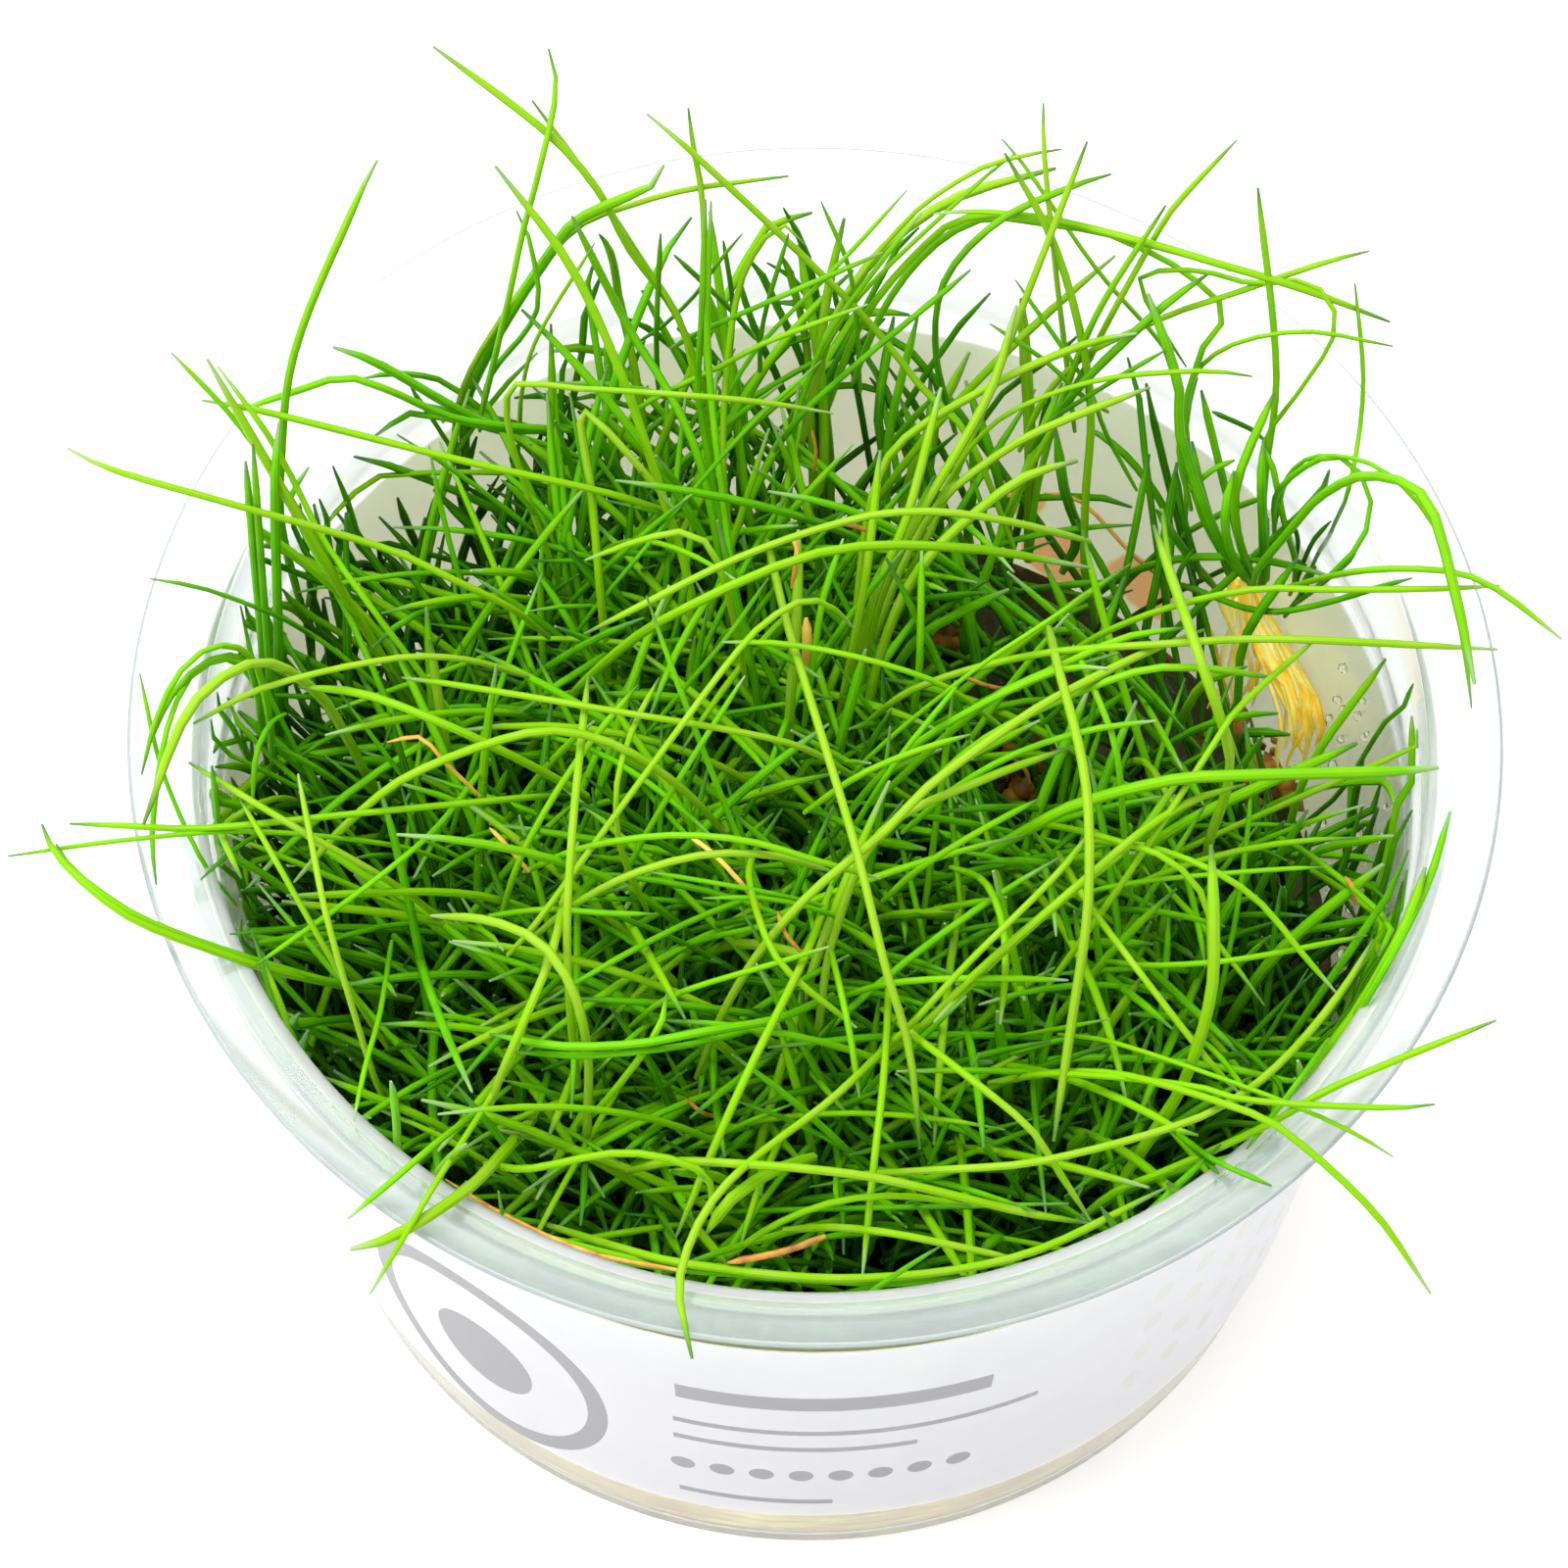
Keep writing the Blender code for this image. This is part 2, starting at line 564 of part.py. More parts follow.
def clear_route(crown, points, thicket):
    """Tries a blade's nearest faces and small shifts until the blade touches nothing."""
    heading = (points[0] - crown.middle).normalized()
    for choice in range(BUD_CHOICES):
        turn = 2.1 * choice
        aside = Vector((math.cos(turn), math.sin(turn), 0)) * (0.5 if choice else 0.0)
        bud = crown.bud_for(heading + aside)
        for nudge in nudges():
            route = crown.route_from(bud, [point + nudge for point in points], LONG_STEPS)
            if thicket.is_clear(route, crown):
                return bud, route
    return None, None


def grow_short_blades(crowns, thicket):
    """Fills each plantlet with shorter blades that lean and arch at random."""
    for crown in crowns:
        rng = crown.rng
        grown = 0
        for _ in range(TRIES_PER_BLADE):
            if grown == SHORT_BLADES_PER_TUFT:
                break
            turn = rng.uniform(0.0, 2.0 * math.pi)
            out = Vector((math.cos(turn), math.sin(turn), 0))
            height = rng.uniform(*rng.choice(SHORT_HEIGHTS))
            reach = height * rng.uniform(*SHORT_LEANS)
            side = Vector((-out.y, out.x, 0)) * rng.uniform(-SHORT_SIDE_SWAY, SHORT_SIDE_SWAY)
            bud = crown.bud_for((out + Vector((0, 0, rng.uniform(0.3, 1.6)))).normalized())
            if bud is None:
                break
            centre = crown.buds[bud][0] + Vector((0, 0, 3.0))
            bend = centre + out * (reach * 0.45) + Vector((0, 0, height * 0.66)) + side * 0.4
            tip = centre + out * reach + Vector((0, 0, height)) + side
            route = crown.route_from(bud, [bend, tip], SHORT_STEPS)
            if thicket.is_clear(route, crown) and not in_mouth_room(thicket.beads(route)):
                crown.grow(bud, route)
                thicket.keep(route, crown)
                grown += 1


def make_roots(material):
    """Roots hanging down the wall from the plantlet that leans there: a knot drawn out into strands."""
    bm = bmesh.new()
    rng = random.Random(SEED + 50)
    outward = Vector((WALL_CROWN_PLACE.x, WALL_CROWN_PLACE.y, 0)).normalized()
    across = Vector((-outward.y, outward.x, 0))
    knot = bmesh.ops.create_cube(bm, size=1.0)
    bmesh.ops.scale(bm, vec=ROOT_KNOT_SIZE, verts=knot["verts"])
    lengthwise = [e for e in bm.edges if abs((e.verts[0].co - e.verts[1].co).y) > 1.0]
    bmesh.ops.subdivide_edges(bm, edges=lengthwise, cuts=len(ROOT_STRANDS) * 2 - 2, use_grid_fill=True)
    turn = Vector((1, 0, 0)).rotation_difference(outward).to_matrix()
    bmesh.ops.rotate(bm, verts=bm.verts, cent=(0, 0, 0), matrix=turn)
    top = Vector((WALL_CROWN_PLACE.x, WALL_CROWN_PLACE.y, ROOT_TOP)) + outward * 0.6
    bmesh.ops.translate(bm, vec=top, verts=bm.verts)
    bmesh.ops.recalc_face_normals(bm, faces=bm.faces)
    lower = [f for f in bm.faces if f.normal.z < -0.9]
    lower.sort(key=lambda f: (f.calc_center_median() - top).dot(across))
    for face, (shift, lean, length) in zip(lower[::2], ROOT_STRANDS):
        centre = face.calc_center_median()
        for step in range(1, ROOT_STEPS + 1):
            share = step / ROOT_STEPS
            face = bmesh.ops.extrude_discrete_faces(bm, faces=[face])["faces"][0]
            height = centre.z - length * share
            spread = (shift - (centre - top).dot(across)) * share + lean * math.sin(5.0 * share)
            wall = inner_radius(height) - TOUCH_GAP - 0.9 - rng.uniform(0.0, 0.5)
            inward = (centre.x * outward.x + centre.y * outward.y)
            place = centre + across * spread + outward * min(0.0, wall - inward)
            place.z = height
            size = ROOT_RADIUS * (1.0 - 0.5 * share)
            middle = face.calc_center_median()
            for vert in face.verts:
                vert.co = place + (vert.co - middle).normalized() * size
                vert.co.z = height
    bmesh.ops.triangulate(bm, faces=bm.faces)
    return add_object("root_bundle", bm, material, smooth=False)


def main():
    """Builds the cup, the label, the gel, the roots and every plantlet."""
    clear_scene()
    clear_plastic = make_material("clear_plastic", (0.93, 0.95, 0.97), 0.05, transmission=1.0, ior=1.49)
    printed_film = make_material("printed_film", (0.86, 0.85, 0.88), 0.4)
    gel = make_material("gel", (0.34, 0.28, 0.13), 0.3)
    root = make_material("root", (0.80, 0.60, 0.16), 0.5)
    leaf = make_material("leaf", (0.14, 0.42, 0.02), 0.35)
    make_cup(clear_plastic)
    make_label(printed_film)
    make_gel(gel)
    make_roots(root)
    crowns = [Crown("tuft_%02d" % (i + 1), place, MOUND_RADIUS, MOUND_HEIGHT, SEED + 100 + i)
              for i, place in enumerate(crown_places())]
    wall_crown = Crown("wall_tuft", WALL_CROWN_PLACE, WALL_CROWN_RADIUS, WALL_CROWN_HEIGHT,
                       SEED + 200, fans=False)
    thicket = Thicket(crowns + [wall_crown])
    grow_long_blades(crowns, wall_crown, thicket)
    grow_short_blades(crowns, thicket)
    for crown in crowns + [wall_crown]:
        crown.raise_spikes(thicket)
    for crown in crowns + [wall_crown]:
        crown.build(leaf)
    print("blades and spikes:", len(thicket.spots))


main()
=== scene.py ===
"""Dwarf hairgrass in its clear cup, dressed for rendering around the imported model.

Shapes are written in millimetres and turned into metres by MM. Finishes and lights are written in metres
where their own text says so. The cup stands on its flat base at the origin, +Z is up and the photograph looks
from -Y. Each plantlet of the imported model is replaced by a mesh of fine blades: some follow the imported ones,
some were read off the photograph, and shorter and darker ones are grown between them.
"""
import logging
import math
from dataclasses import dataclass, field
from enum import Enum, IntEnum

import bmesh
import bpy
import numpy as np
from mathutils import Matrix, Vector


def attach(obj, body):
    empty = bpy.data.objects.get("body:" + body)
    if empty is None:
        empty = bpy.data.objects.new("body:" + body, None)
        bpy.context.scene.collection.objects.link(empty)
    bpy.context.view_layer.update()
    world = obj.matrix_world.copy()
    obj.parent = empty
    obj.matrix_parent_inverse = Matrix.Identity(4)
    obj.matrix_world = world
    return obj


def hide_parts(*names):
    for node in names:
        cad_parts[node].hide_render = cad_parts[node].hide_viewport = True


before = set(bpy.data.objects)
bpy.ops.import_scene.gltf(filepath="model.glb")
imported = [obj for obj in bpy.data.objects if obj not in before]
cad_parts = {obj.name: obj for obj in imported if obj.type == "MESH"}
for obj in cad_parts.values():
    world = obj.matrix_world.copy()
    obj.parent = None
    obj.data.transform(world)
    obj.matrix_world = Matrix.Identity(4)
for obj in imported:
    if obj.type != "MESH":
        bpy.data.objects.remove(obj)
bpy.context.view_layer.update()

MM = 0.001
BODY = "root"
log = logging.getLogger("hairgrass")

Socket = bpy.types.NodeSocket
Route = list[Vector]
Profile = list[tuple[float, float]]
Range = tuple[float, float]
Colour = tuple[float, float, float]
Stops = tuple[tuple[float, Colour], ...]

BLACK = (0.0, 0.0, 0.0)


# Small helpers for objects and shader nodes

def mesh_object(name: str, bm: bmesh.types.BMesh, material: bpy.types.Material,
                sharp_angle: float = 40.0) -> bpy.types.Object:
    """Makes an object from a bmesh whose lengths are millimetres.

    Args:
        name: the piece's name.
        bm: the finished shape, which is freed.
        material: the finish of every face.
        sharp_angle: edges that turn by more degrees than this stay crisp.

    Returns:
        The linked object, at the origin.
    """
    bmesh.ops.scale(bm, vec=(MM, MM, MM), verts=bm.verts)
    mesh = bpy.data.meshes.new(name)
    bm.to_mesh(mesh)
    bm.free()
    mesh.shade_smooth()
    mesh.set_sharp_from_angle(angle=math.radians(sharp_angle))
    mesh.materials.append(material)
    made = bpy.data.objects.new(name, mesh)
    bpy.context.scene.collection.objects.link(made)
    return made


def turned(profile: Profile, steps: int) -> bmesh.types.BMesh:
    """Turns a profile around the upright axis.

    Args:
        profile: (radius, height) points in millimetres; a profile that starts off the axis is closed.
        steps: how many faces go round.

    Returns:
        A closed shape with its faces outwards.
    """
    bm = bmesh.new()
    points = [bm.verts.new((radius, 0.0, height)) for radius, height in profile]
    edges = [bm.edges.new(pair) for pair in zip(points, points[1:])]
    if profile[0][0] > 0.0:
        edges.append(bm.edges.new((points[-1], points[0])))
    bmesh.ops.spin(bm, geom=points + edges, cent=(0, 0, 0), axis=(0, 0, 1),
                   angle=2.0 * math.pi, steps=steps, use_merge=True)
    bmesh.ops.remove_doubles(bm, verts=bm.verts, dist=0.0001)
    bmesh.ops.recalc_face_normals(bm, faces=bm.faces)
    return bm


def show(piece: bpy.types.Object, slot: str, *nodes: str) -> bpy.types.Object:
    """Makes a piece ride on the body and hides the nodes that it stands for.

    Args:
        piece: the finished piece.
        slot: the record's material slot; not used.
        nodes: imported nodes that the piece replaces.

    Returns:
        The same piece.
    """
    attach(piece, BODY)
    if nodes:
        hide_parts(*nodes)
    log.info("%s: %d faces", piece.name, len(piece.data.polygons))
    return piece


def set_stops(ramp: bpy.types.ColorRamp, stops: Stops) -> None:
    """Gives a colour ramp its (place, colour) stops."""
    elements = ramp.elements
    while len(elements) < len(stops):
        elements.new(0.5)
    for element, (place, colour) in zip(elements, stops):
        element.position = place
        element.color = (*colour, 1.0)


class Shader:
    """Builds one node material around a Principled shader."""

    def __init__(self, name: str) -> None:
        """Starts an empty material with a Principled shader and its output."""
        self.material = bpy.data.materials.new(name)
        self.material.use_nodes = True
        self.tree = self.material.node_tree
        self.surface = self.tree.nodes["Principled BSDF"]

    def node(self, kind: str, **values: object) -> bpy.types.Node:
        """Adds a node and sets its properties."""
        made = self.tree.nodes.new(kind)
        for key, value in values.items():
            setattr(made, key, value)
        return made

    def put(self, socket: Socket, value: object) -> None:
        """Links a socket to another, or sets its constant."""
        if isinstance(value, bpy.types.NodeSocket):
            self.tree.links.new(value, socket)
        else:
            socket.default_value = value

    def set(self, **values: object) -> None:
        """Sets sockets of the Principled shader, with their spaces written as underscores."""
        for key, value in values.items():
            self.put(self.surface.inputs[key.replace("_", " ")], value)

    def place(self) -> Socket:
        """Object coordinates, in metres."""
        return self.node("ShaderNodeTexCoord").outputs["Object"]

    def parts(self, vector: Socket) -> bpy.types.NodeOutputs:
        """The X, Y and Z of a vector."""
        made = self.node("ShaderNodeSeparateXYZ")
        self.put(made.inputs[0], vector)
        return made.outputs

    def scaled(self, vector: Socket, factors: tuple[float, float, float]) -> Socket:
        """Multiplies a vector by three factors."""
        made = self.node("ShaderNodeMapping", vector_type="POINT")
        self.put(made.inputs["Vector"], vector)
        made.inputs["Scale"].default_value = factors
        return made.outputs["Vector"]

    def math(self, operation: str, first: object, second: object = 0.0, clamp: bool = False) -> Socket:
        """Joins two numbers with a Math node."""
        made = self.node("ShaderNodeMath", operation=operation, use_clamp=clamp)
        self.put(made.inputs[0], first)
        self.put(made.inputs[1], second)
        return made.outputs[0]

    def near(self, value: Socket, middle: float, reach: float) -> Socket:
        """One where a value is no further than a reach from a middle."""
        made = self.node("ShaderNodeMath", operation="COMPARE")
        self.put(made.inputs[0], value)
        made.inputs[1].default_value = middle
        made.inputs[2].default_value = reach
        return made.outputs[0]

    def length(self, across: Socket, height: Socket, middle: Range, stretch: Range) -> Socket:
        """Distance from a middle in a plane, with each direction stretched."""
        squares = []
        for value, centre, factor in zip((across, height), middle, stretch):
            offset = self.math("MULTIPLY", self.math("SUBTRACT", value, centre), factor)
            squares.append(self.math("MULTIPLY", offset, offset))
        return self.math("SQRT", self.math("ADD", *squares))

    def noise(self, vector: Socket, scale: float, detail: float = 2.0, roughness: float = 0.5) -> Socket:
        """A noise value around one half."""
        made = self.node("ShaderNodeTexNoise")
        self.put(made.inputs["Vector"], vector)
        made.inputs["Scale"].default_value = scale
        made.inputs["Detail"].default_value = detail
        made.inputs["Roughness"].default_value = roughness
        return made.outputs["Fac"]

    def ramp(self, value: Socket, stops: Stops) -> Socket:
        """Turns a value into a colour through (place, colour) stops."""
        made = self.node("ShaderNodeValToRGB")
        set_stops(made.color_ramp, stops)
        self.put(made.inputs["Fac"], value)
        return made.outputs["Color"]

    def spread(self, value: Socket, low: float, high: float, to_low: float = 0.0,
               to_high: float = 1.0) -> Socket:
        """Maps a value from one range to another and holds it there."""
        made = self.node("ShaderNodeMapRange", clamp=True)
        self.put(made.inputs["Value"], value)
        made.inputs["From Min"].default_value = low
        made.inputs["From Max"].default_value = high
        made.inputs["To Min"].default_value = to_low
        made.inputs["To Max"].default_value = to_high
        return made.outputs["Result"]

    def mix(self, share: object, first: object, second: object, blend: str = "MIX") -> Socket:
        """Mixes two colours."""
        made = self.node("ShaderNodeMix", data_type="RGBA", blend_type=blend)
        self.put(made.inputs["Factor"], share)
        for name, value in (("A", first), ("B", second)):
            socket = [s for s in made.inputs if s.name == name and s.type == "RGBA"][0]
            self.put(socket, (*value, 1.0) if isinstance(value, tuple) else value)
        return [s for s in made.outputs if s.type == "RGBA"][0]

    def bump(self, height: Socket, strength: float, distance: float) -> None:
        """Roughens the surface by a height value."""
        made = self.node("ShaderNodeBump")
        made.inputs["Strength"].default_value = strength
        made.inputs["Distance"].default_value = distance
        self.put(made.inputs["Height"], height)
        self.set(Normal=made.outputs["Normal"])

    def attribute(self, name: str, output: str = "Fac") -> Socket:
        """Reads one of the piece's own attributes."""
        return self.node("ShaderNodeAttribute", attribute_name=name).outputs[output]


# Finishes

@dataclass(frozen=True)
class ClearPlastic:
    """The cup's plastic in one of its zones: clear, milky at the thick rim and in a band above the label, or
    grey at the flange's edge. The milky zones are partly the plastic's own haze and partly painted light.
    """

    name: str = "clear_plastic"
    tint: Colour = (0.90, 0.94, 0.95)
    clear: float = 0.88
    roughness: float = 0.15
    ior: float = 1.4
    gloss: float = 0.15

    def build(self) -> bpy.types.Material:
        """Makes the material."""
        shader = Shader(self.name)
        shader.set(Base_Color=(*self.tint, 1.0), Transmission_Weight=self.clear, IOR=self.ior,
                   Roughness=self.roughness, Specular_IOR_Level=self.gloss)
        return shader.material


@dataclass(frozen=True)
class Leaf:
    """Fresh blades, from deep green in the shade to yellow green at the top. Heights are in metres."""

    deep: Colour = (0.016, 0.115, 0.0006)
    dark: Colour = (0.034, 0.235, 0.0008)
    middle: Colour = (0.108, 0.465, 0.0015)
    light: Colour = (0.178, 0.49, 0.002)
    bright: Colour = (0.210, 0.455, 0.003)
    pale: Colour = (0.265, 0.475, 0.02)
    stripe: Colour = (0.30, 0.68, 0.015)
    dark_tip: Colour = (0.05, 0.14, 0.045)
    pale_tip: Colour = (0.34, 0.46, 0.24)
    root: Colour = (0.22, 0.42, 0.03)
    shaded_heights: Range = (0.024, 0.058)
    shaded_tones: Range = (-0.2, 0.06)
    sunlit_heights: Range = (0.060, 0.078)
    sunlit_share: float = 0.45
    patch_scale: float = 260.0
    patch_tones: Range = (-0.1, 0.1)
    root_reach: float = 0.1
    root_share: float = 0.6
    tip_scale: float = 55.0
    tip_reach: Range = (0.93, 0.985)
    tip_share: float = 0.8
    stripes: float = 7.0
    stripe_share: float = 0.2
    groove: float = 0.00004
    roughness: float = 0.36
    gloss: float = 0.06

    def build(self) -> bpy.types.Material:
        """Makes the material from the attributes tone, along and edge."""
        shader = Shader("leaf")
        tone = shader.attribute("tone")
        along = shader.attribute("along")
        place = shader.place()
        height = shader.parts(place)["Z"]
        shade = shader.spread(height, *self.shaded_heights, *self.shaded_tones)
        patch = shader.spread(shader.noise(place, self.patch_scale), 0.3, 0.7, *self.patch_tones)
        lit = shader.math("ADD", shader.math("ADD", tone, shade), patch, clamp=True)
        colour = shader.ramp(lit, ((0.0, self.deep), (0.26, self.dark), (0.52, self.middle),
                                   (0.74, self.light), (0.92, self.bright), (1.0, self.pale)))
        sunlit = shader.spread(height, *self.sunlit_heights, 0.0, self.sunlit_share)
        colour = shader.mix(sunlit, colour, self.pale)
        rooted = shader.spread(along, self.root_reach, 0.0, 0.0, self.root_share)
        colour = shader.mix(rooted, colour, self.root)
        pale = shader.math("MULTIPLY", shader.spread(shader.noise(place, self.tip_scale, 0.0), 0.48, 0.56),
                           shader.spread(lit, 0.3, 0.6))
        tip = shader.mix(pale, self.dark_tip, self.pale_tip)
        colour = shader.mix(shader.spread(along, *self.tip_reach, 0.0, self.tip_share), colour, tip)
        edge = shader.parts(shader.attribute("edge", "Vector"))
        angle = shader.math("ARCTAN2", edge["Y"], edge["X"])
        ridge = shader.math("SINE", shader.math("MULTIPLY", angle, self.stripes))
        colour = shader.mix(shader.spread(ridge, -1.0, 1.0, 0.0, self.stripe_share), colour, self.stripe)
        shader.set(Base_Color=colour, Roughness=self.roughness, Specular_IOR_Level=self.gloss)
        shader.bump(ridge, 0.25, self.groove)
        return shader.material


@dataclass(frozen=True)
class DriedLeaf:
    """Old blades and threads, tan to rust brown."""

    rust: Colour = (0.10, 0.03, 0.012)
    tan: Colour = (0.60, 0.27, 0.025)
    straw: Colour = (0.86, 0.52, 0.08)
    grain_scale: float = 700.0
    grain_tones: Range = (-0.3, 0.3)
    grain_depth: float = 0.0001
    roughness: float = 0.5

    def build(self) -> bpy.types.Material:
        """Makes the material from the attribute tone."""
        shader = Shader("dried_leaf")
        grain = shader.noise(shader.scaled(shader.place(), (1.0, 1.0, 0.4)), self.grain_scale, 3.0)
        patch = shader.spread(grain, 0.3, 0.7, *self.grain_tones)
        tone = shader.math("ADD", shader.attribute("tone"), patch, clamp=True)
        colour = shader.ramp(tone, ((0.0, self.rust), (0.5, self.tan), (1.0, self.straw)))
        shader.set(Base_Color=colour, Roughness=self.roughness)
        shader.bump(grain, 0.4, self.grain_depth)
        return shader.material


@dataclass(frozen=True)
class RootThread:
    """Golden roots that let some light through, which a little light of their own stands for."""

    amber: Colour = (0.85, 0.44, 0.02)
    gold: Colour = (1.0, 0.74, 0.06)
    cream: Colour = (1.0, 0.92, 0.36)
    grain_scale: float = 900.0
    grain_tones: Range = (-0.25, 0.25)
    roughness: float = 0.45
    glow: float = 0.2

    def build(self) -> bpy.types.Material:
        """Makes the material from the attribute tone."""
        shader = Shader("root_thread")
        grain = shader.noise(shader.place(), self.grain_scale, 3.0)
        patch = shader.spread(grain, 0.3, 0.7, *self.grain_tones)
        tone = shader.math("ADD", shader.attribute("tone"), patch, clamp=True)
        colour = shader.ramp(tone, ((0.0, self.amber), (0.5, self.gold), (1.0, self.cream)))
        shader.set(Base_Color=colour, Roughness=self.roughness, Emission_Color=colour,
                   Emission_Strength=self.glow)
        return shader.material


@dataclass(frozen=True)
class GrowingGel:
    """Cloudy beige gel with pale roots that run round inside its wall. Its top is dark: brown clods over painted
    shade under the grass. Heights are in metres.

    Below the label its side gives a little light, for the light that the clear cup and the gel let through.
    """

    streaks: Stops = ((0.38, (0.32, 0.15, 0.04)), (0.47, (0.52, 0.30, 0.07)),
                      (0.54, (0.54, 0.41, 0.08)), (0.65, (0.86, 0.72, 0.27)))
    streak_scale: float = 170.0
    streak_flatness: float = 7.0
    clods_and_shade: Stops = ((0.35, (0.03, 0.045, 0.008)), (0.58, (0.06, 0.055, 0.012)), (0.7, (0.28, 0.09, 0.02)))
    clod_scale: float = 330.0
    clod_depth: float = 0.0008
    cloud: Colour = (0.45, 0.46, 0.08)
    cloud_scale: float = 60.0
    cloud_share: float = 0.25
    top_heights: Range = (0.0200, 0.0213)
    glow_heights: Range = (0.0085, 0.0100)
    glow: float = 0.65
    roughness: float = 0.3
    gloss: float = 0.15

    def build(self) -> bpy.types.Material:
        """Makes the material."""
        shader = Shader("growing_gel")
        place = shader.place()
        flat = shader.scaled(place, (1.0, 1.0, self.streak_flatness))
        side = shader.ramp(shader.noise(flat, self.streak_scale, 5.0, 0.65), self.streaks)
        cloudy = shader.spread(shader.noise(place, self.cloud_scale), 0.45, 0.7, 0.0, self.cloud_share)
        side = shader.mix(cloudy, side, self.cloud)
        height = shader.parts(place)["Z"]
        # The top's near-black colour is painted shade under the grass, with brown clods in it.
        clods_and_shade = shader.noise(place, self.clod_scale, 4.0, 0.7)
        top = shader.ramp(clods_and_shade, self.clods_and_shade)
        colour = shader.mix(shader.spread(height, *self.top_heights), side, top)
        glow = shader.mix(shader.spread(height, *self.glow_heights), side, BLACK)
        shader.set(Base_Color=colour, Roughness=self.roughness, Specular_IOR_Level=self.gloss,
                   Emission_Color=glow, Emission_Strength=self.glow)
        shader.bump(clods_and_shade, 0.5, self.clod_depth)
        return shader.material


@dataclass(frozen=True)
class PrintedFilm:
    """White film with a plain generic print: a grey ring, bars and a dotted line, and pale green lozenges.

    The print's places are millimetres around the label from its front, and up from the cup's base. The inner
    face's places are in metres.
    """

    ink: Colour = (0.20, 0.195, 0.215)
    ink_share: float = 0.92
    green_ink: Colour = (0.60, 0.66, 0.36)
    green_share: float = 0.55
    white: tuple[Colour, Colour] = ((0.90, 0.88, 0.91), (0.93, 0.91, 0.935))
    grain_scale: float = 120.0
    radius: float = 41.0
    ring_middle: Range = (-25.0, 25.0)
    ring_radius: float = 9.6
    ring_half_line: float = 0.8
    spot_radius: float = 4.2
    upright_squash: float = 0.62
    bars: tuple[tuple[float, float, float, float], ...] = (
        (2.2, 36.0, 11.2, 1.5), (4.0, 29.0, 13.4, 0.5), (-0.5, 25.0, 9.0, 0.5), (-3.5, 12.0, 6.0, 0.5))
    dot_row: tuple[float, float, float] = (1.5, 18.5, 12.0)
    dot_radius: float = 0.95
    dot_half_pitch: float = 1.5
    dot_squash: float = 0.75
    lozenge_field: tuple[float, float, float, float] = (34.0, 28.8, 9.4, 11.6)
    lozenge_half_pitches: Range = (1.9, 3.2)
    lozenge_radius: float = 0.8
    lozenge_squash: float = 0.45
    inner_lean: float = 0.14
    inner_radius: float = 0.0378
    # The inner face is made paler and glows a little: painted light for what the film lets through from outside.
    inner_white_and_painted_light: Colour = (0.95, 0.97, 0.52)
    inner_painted_light: float = 0.14
    blotch: Colour = (1.0, 0.27, 0.03)
    blotches: tuple[tuple[Colour, float], ...] = (
        ((0.0179, 0.0358, 0.0238), 0.0038), ((0.0154, 0.0375, 0.0278), 0.0026),
        ((0.0251, 0.0319, 0.0262), 0.0034))
    blotch_core: float = 0.85
    blotch_share: float = 0.95
    blotch_fray: Range = (-0.001, 0.001)
    roughness: float = 0.42
    scatter_radius: Colour = (1.0, 1.0, 0.88)
    scatter_scale: float = 0.0015

    def box(self, shader: Shader, across: Socket, height: Socket,
            bounds: tuple[float, float, float, float]) -> Socket:
        """One inside an upright box on the label, given by its middle and its half sizes."""
        middle, level, half_width, half_height = bounds
        return shader.math("MULTIPLY", shader.near(across, middle, half_width),
                           shader.near(height, level, half_height))

    def grey_print(self, shader: Shader, across: Socket, height: Socket) -> Socket:
        """One on the ring with its spot, on the bars and on the dots."""
        away = shader.length(across, height, self.ring_middle, (1.0, self.upright_squash))
        inked = shader.math("MAXIMUM", shader.near(away, self.ring_radius, self.ring_half_line),
                            shader.math("LESS_THAN", away, self.spot_radius))
        for bounds in self.bars:
            inked = shader.math("MAXIMUM", inked, self.box(shader, across, height, bounds))
        middle, level, half_width = self.dot_row
        away = shader.length(shader.math("PINGPONG", across, self.dot_half_pitch), height,
                             (0.0, level), (1.0, self.dot_squash))
        dots = shader.math("MULTIPLY", shader.math("LESS_THAN", away, self.dot_radius),
                           shader.near(across, middle, half_width))
        return shader.math("MAXIMUM", inked, dots)

    def green_print(self, shader: Shader, across: Socket, height: Socket) -> Socket:
        """One on the lozenges, which repeat over their field."""
        pitch_across, pitch_up = self.lozenge_half_pitches
        away = shader.length(shader.math("PINGPONG", across, pitch_across),
                             shader.math("PINGPONG", height, pitch_up),
                             (0.0, 0.0), (1.0, self.lozenge_squash))
        return shader.math("MULTIPLY", shader.math("LESS_THAN", away, self.lozenge_radius),
                           self.box(shader, across, height, self.lozenge_field))

    def inner_spots(self, shader: Shader, place: Socket, grain: Socket) -> Socket:
        """How strongly the soft blotches colour a place."""
        spots = 0.0
        for middle, size in self.blotches:
            offset = shader.node("ShaderNodeVectorMath", operation="DISTANCE")
            shader.put(offset.inputs[0], place)
            offset.inputs[1].default_value = middle
            fray = shader.spread(grain, 0.3, 0.7, *self.blotch_fray)
            edge = shader.math("ADD", offset.outputs["Value"], fray)
            spot = shader.spread(edge, size, size * self.blotch_core, 0.0, self.blotch_share)
            spots = shader.math("MAXIMUM", spots, spot)
        return spots

